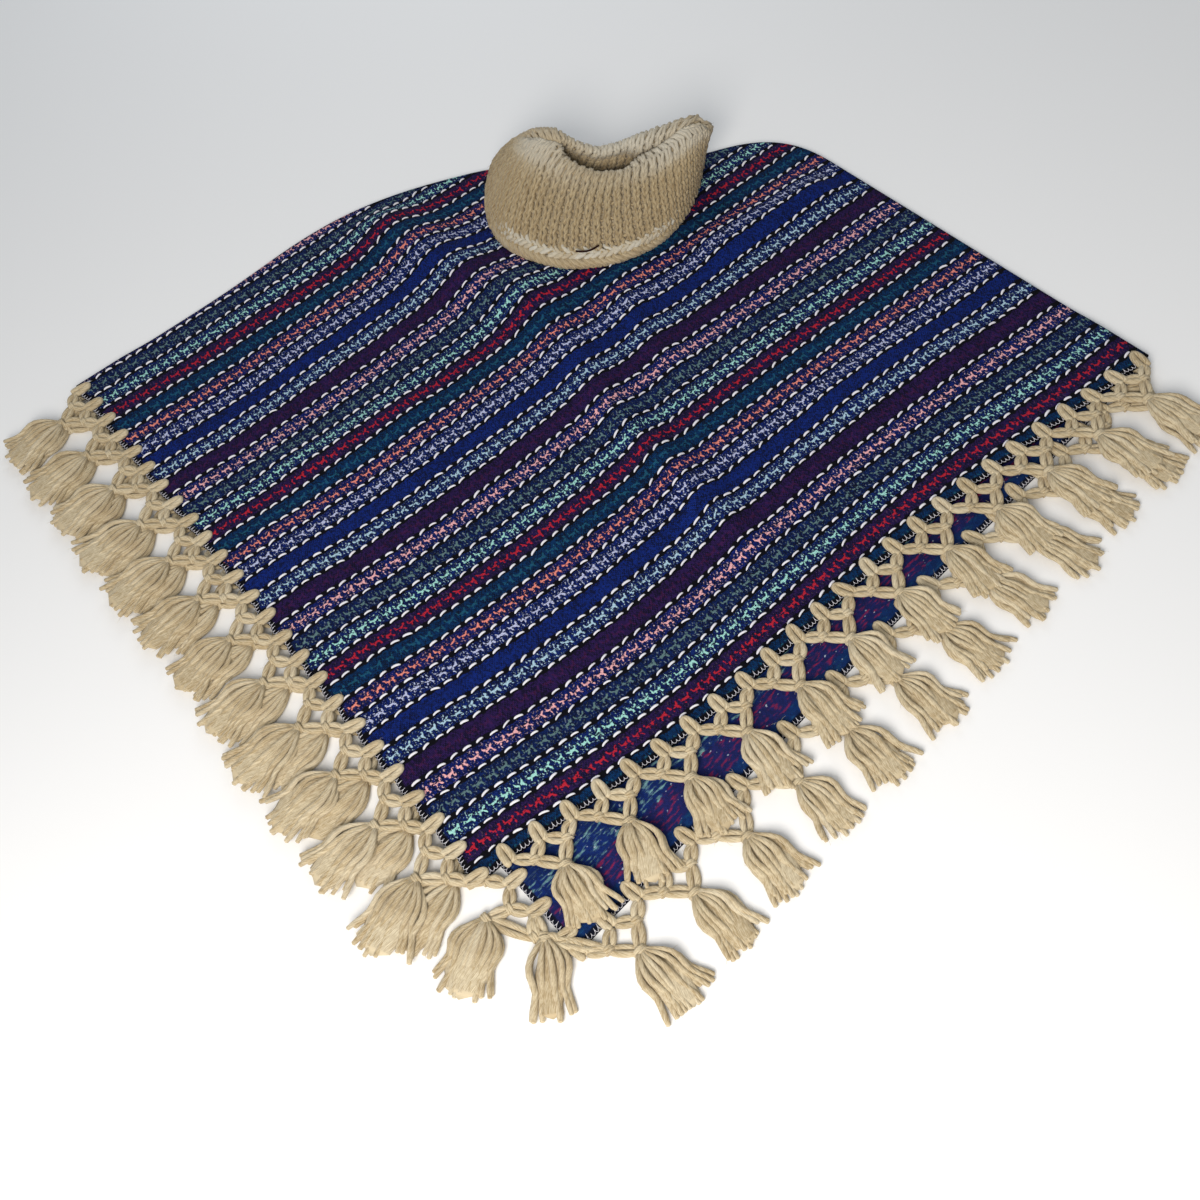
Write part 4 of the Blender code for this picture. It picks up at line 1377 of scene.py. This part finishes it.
# %% Striped outside of the front
WEAVE_HOLLOW_SHADE = (0.003, 0.004, 0.010, 1.0)         # painted shade in the hollows between the threads, and each thread's own random darker tone
STAR_SHADOW = (0.004, 0.006, 0.018, 1.0)
BLACK_WOOL = (0.0035, 0.0035, 0.0060, 1.0)


def cell_place(tree, place):
    """Stripe number, column place and row place in a cell, in millimetres."""
    parts = tree.add("SeparateXYZ", [(0, place)]).outputs
    stripe = tree.math("DIVIDE", tree.minus(parts[1], ROW_ZERO), ROW_STEP)
    column = tree.plus(tree.math("DIVIDE", parts[0], FLOAT_PITCH), 0.5)
    across = tree.minus(tree.math("FRACT", column), 0.5)
    up = tree.minus(tree.math("FRACT", stripe), 0.5)
    across = tree.times(across, FLOAT_PITCH * 1000.0)
    up = tree.times(up, ROW_STEP * 1000.0)
    return stripe, across, up


def hem_mask(tree, place):
    """1 in the black band under the overcast thread, along the two hems."""
    parts = tree.add("SeparateXYZ", [(0, place)]).outputs
    near = tree.math("MINIMUM", parts[0], parts[1])
    near = tree.math("MULTIPLY_ADD", tree.noise(place, 300.0, 2.0), 0.0030, near)
    return tree.smooth(near, 0.0085, 0.0060)


def striped_weave():
    """The front's outer face."""
    made, tree, shader, place = start_material("striped_weave", 0.93)
    stripe, across, up = cell_place(tree, place)
    cell = tree.add("CombineXYZ", [(0, across), (1, up)]).outputs[0]
    cell = tree.vector("ADD", cell, tree.wander(place, 210.0, 2.0, 4.4))
    masks = place_group(tree, SPECKLES, [("Cell", cell)])
    stripes = place_group(tree, STRIPE_ORDER, [("Stripe", stripe)])
    weave = place_group(tree, GROUND_WEAVE, [("Place", place)])
    missing = tree.smooth(tree.noise(place, 330.0, 1.0), 0.38, 0.46)
    sparse = tree.smooth(tree.noise(place, 190.0, 1.0), 0.44, 0.52)
    motif = tree.times(tree.times(masks["Motif"], stripes["Motif"]), missing)
    dots = tree.times(tree.times(masks["Dots"], stripes["Dots"]), sparse)
    flecks = tree.smooth(tree.noise(place, 560.0, 1.0), 0.64, 0.69)
    flecks = tree.times(flecks, tree.times(stripes["Dots"], 0.55))
    dots = tree.math("MAXIMUM", dots, flecks)
    # painted shade: the weave's hollows, and its darker threads, go towards the near-black hollow colour
    dark = tree.smooth(weave["Shade"], 1.15, 0.45)
    shaded = tree.mix(tree.times(dark, 0.92), stripes["Ground"], WEAVE_HOLLOW_SHADE)
    close = tree.times(masks["Shadow"], stripes["Dots"])
    shaded = tree.mix(tree.times(close, 0.62), shaded, STAR_SHADOW)
    color = tree.mix(motif, shaded, stripes["Accent"])
    pale = tree.mix(0.45, stripes["Accent"], rgba(196, 212, 240))
    color = tree.mix(dots, color, pale)
    row = tree.minus(ROW_STEP * 500.0, tree.math("ABSOLUTE", up))
    turns = tree.times(across, 2.0 * math.pi / (FLOAT_PITCH * 1000.0))
    between = tree.minus(0.5, tree.times(tree.math("COSINE", turns), 0.5))
    ragged = tree.times(tree.minus(tree.noise(place, 420.0, 2.0), 0.5), 2.4)
    half = tree.plus(tree.math("MULTIPLY_ADD", between, 1.3, 2.0), ragged)
    black = tree.smooth(tree.minus(row, half), 0.5, -0.3)
    black = tree.math("MAXIMUM", black, hem_mask(tree, place))
    color = tree.mix(black, color, BLACK_WOOL)
    height = tree.plus(weave["Height"], tree.times(tree.math("MAXIMUM", motif, dots), 1.2))
    finish_shader(tree, shader, color, height, 0.0006)
    return made


woven = striped_weave()
print("front finish:", woven.name, "with", len(woven.node_tree.nodes), "nodes")

# %% [markdown]
# The back shows its inside, where the wool is brushed up. The stripes are the same, but blurred
# along their length, with pale streaks instead of stars.


# %% Brushed inside of the back
# painted shade in the hollows of the brushed weave, together with each thread's own random darker tone
BRUSHED_HOLLOW_SHADE = (0.006, 0.010, 0.028, 1.0)
BRUSHED_BLACK = (0.0045, 0.0060, 0.0140, 1.0)


def brushed_inside():
    """The back's inner face: the same stripes, brushed and blurred along their length."""
    made, tree, shader, place = start_material("striped_weave_back", 0.95)
    stripe, _, _ = cell_place(tree, tree.vector("ADD", place, tree.wander(place, 120.0, 2.0, 0.010)))
    stripes = place_group(tree, STRIPE_ORDER, [("Stripe", stripe)])
    weave = place_group(tree, GROUND_WEAVE, [("Place", place)])
    ground = tree.mix(0.58, stripes["Ground"], rgba(22, 46, 112))
    long = tree.vector("MULTIPLY", place, (0.30, 1.0, 1.0))
    streaks = tree.smooth(tree.noise(long, 330.0, 3.0), 0.50, 0.72)
    streaks = tree.times(streaks, stripes["Motif"])
    # painted shade: hollows and darker threads of the weave go towards the dark hollow colour
    color = tree.mix(tree.times(tree.smooth(weave["Shade"], 1.25, 0.30), 0.6),
                     ground, BRUSHED_HOLLOW_SHADE)
    color = tree.mix(tree.times(streaks, 0.48), color, stripes["Accent"])
    specks = tree.smooth(tree.noise(tree.vector("MULTIPLY", place, (0.7, 1.0, 1.0)), 300.0, 1.0), 0.70, 0.76)
    color = tree.mix(tree.times(specks, 0.7), color, rgba(190, 200, 220))
    color = tree.mix(hem_mask(tree, place), color, BRUSHED_BLACK)
    height = tree.plus(weave["Height"], tree.times(streaks, 0.8))
    finish_shader(tree, shader, color, height, 0.0005)
    return made


inside = brushed_inside()
print("back finish:", inside.name, "with", len(inside.node_tree.nodes), "nodes")

# %% [markdown]
# ## Wool yarn
# Undyed wool is cream, with painted shade in the hollows between its fibres. Long fine fibres run
# along each strand with a slow twist, and each strand has its own tint, which the basket stored as
# an attribute; a tint below 0 adds painted sheen.


# %% Materials of the yarns
def fibre_group():
    """Group: map place along a strand, to height and shade of its fibres."""
    group, tree, takes, gives = new_group(
        "wool fibres", [("Place", "Vector")], [("Height", "Float"), ("Shade", "Float")])
    parts = tree.add("SeparateXYZ", [(0, takes["Place"])]).outputs
    around = tree.plus(parts[0], tree.times(parts[1], 0.35))
    lay = tree.add("CombineXYZ", [(0, around), (1, tree.times(parts[1], 0.07))]).outputs[0]
    long = tree.noise(lay, 1300.0, 3.0, 0.6)
    soft = tree.noise(takes["Place"], 240.0, 2.0)
    tree.link(tree.plus(long, tree.times(soft, 0.25)), gives["Height"])
    shade = tree.plus(tree.times(long, 0.8), tree.times(soft, 0.2))
    tree.link(shade, gives["Shade"])
    return group


FIBRES = fibre_group()
# pale grey of the painted sheen, for fuzz that catches the light near the collar's fold and on the band
PAINTED_SHEEN_WOOL = (214, 212, 202)


def wool_yarn(name, light, dark, relief, sheen):
    """A strand of wool between a light and a dark colour, mixed by each strand's tint and by painted shade
    between its fibres, with painted sheen where its tint is below 0.
    """
    made, tree, shader, place = start_material(name, 0.95)
    fibres = place_group(tree, FIBRES, [("Place", place)])
    tint = tree.add("Attribute", attribute_name="tint").outputs["Fac"]
    # painted shade: the dark colour fills the hollows between fibres, and the tint adds each strand's own
    # tone
    share = tree.plus(tree.times(tint, 0.35), tree.smooth(fibres["Shade"], 0.62, 0.36))
    color = tree.mix(tree.times(share, 0.8), rgba(*light), rgba(*dark))
    # painted sheen: the further the tint lies below 0.3, the more of the pale sheen colour is mixed in
    painted_sheen = tree.times(tree.smooth(tint, 0.3, -0.9), 0.75)
    color = tree.mix(painted_sheen, color, rgba(*PAINTED_SHEEN_WOOL))
    finish_shader(tree, shader, color, fibres["Height"], relief)
    shader.inputs["Sheen Weight"].default_value = sheen
    shader.inputs["Sheen Roughness"].default_value = 0.4
    return made


# each wool gets a lit colour and a darker one, which paints the shade between its fibres
knit = wool_yarn("cream_knit", (200, 182, 146), (134, 110, 76), 0.0007, 0.25)
yarn = wool_yarn("cream_yarn", (222, 208, 177), (162, 140, 103), 0.0009, 0.18)
band_wool = wool_yarn("cast_off_wool", (206, 190, 158), (154, 132, 98), 0.0006, 0.30)
dark_wool = wool_yarn("dark_thread_wool", (52, 30, 26), (24, 14, 12), 0.0001, 0.0)
float_wool = wool_yarn("white_float", (250, 248, 252), (214, 212, 222), 0.0003, 0.15)
for piece, finish in ((front_cloth, woven), (back_cloth, inside), (white_floats, float_wool),
                      (overcast_thread, float_wool), (cast_off_band, band_wool), (dark_thread, dark_wool),
                      (collar_cloth, knit), (collar_outside, knit), (collar_inside, knit)):
    piece.data.materials.append(finish)
for piece in fringes.values():
    piece.data.materials.append(yarn)
print("materials:", [m.name for m in bpy.data.materials])

# %% [markdown]
# ## Fasten everything to the frame
# Each piece rides on the one rigid body, and the solids that the pieces replace are hidden.

# %% Ride and replace
PIECE_SLOTS = {
    front_cloth: "striped_weave", white_floats: "striped_weave", overcast_thread: "striped_weave",
    back_cloth: "striped_weave_back",
    collar_cloth: "cream_knit", collar_outside: "cream_knit", collar_inside: "cream_knit",
    cast_off_band: "cream_knit", dark_thread: "cream_knit",
}
for piece in fringes.values():
    PIECE_SLOTS[piece] = "cream_yarn"
for piece, finish in PIECE_SLOTS.items():
    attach(piece, "root")
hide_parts("front_panel")
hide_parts("back_panel")
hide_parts("collar")
for name, piece in fringes.items():
    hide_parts(name)
print("pieces:", len(PIECE_SLOTS))

# %% [markdown]

# %% [markdown]
# ## Measure and finish
# The dressed poncho is built to the size of its solids; here its triangles are counted, piece by piece.

# %% Count the triangles and finish
def count_triangles(piece):
    """Triangles of a piece with its modifiers."""
    mesh = piece.evaluated_get(bpy.context.evaluated_depsgraph_get()).to_mesh()
    return len(mesh.loops) - 2 * len(mesh.polygons)


triangles = {piece.name: count_triangles(piece) for piece in PIECE_SLOTS}
print("triangles:", triangles, "in all", sum(triangles.values()))
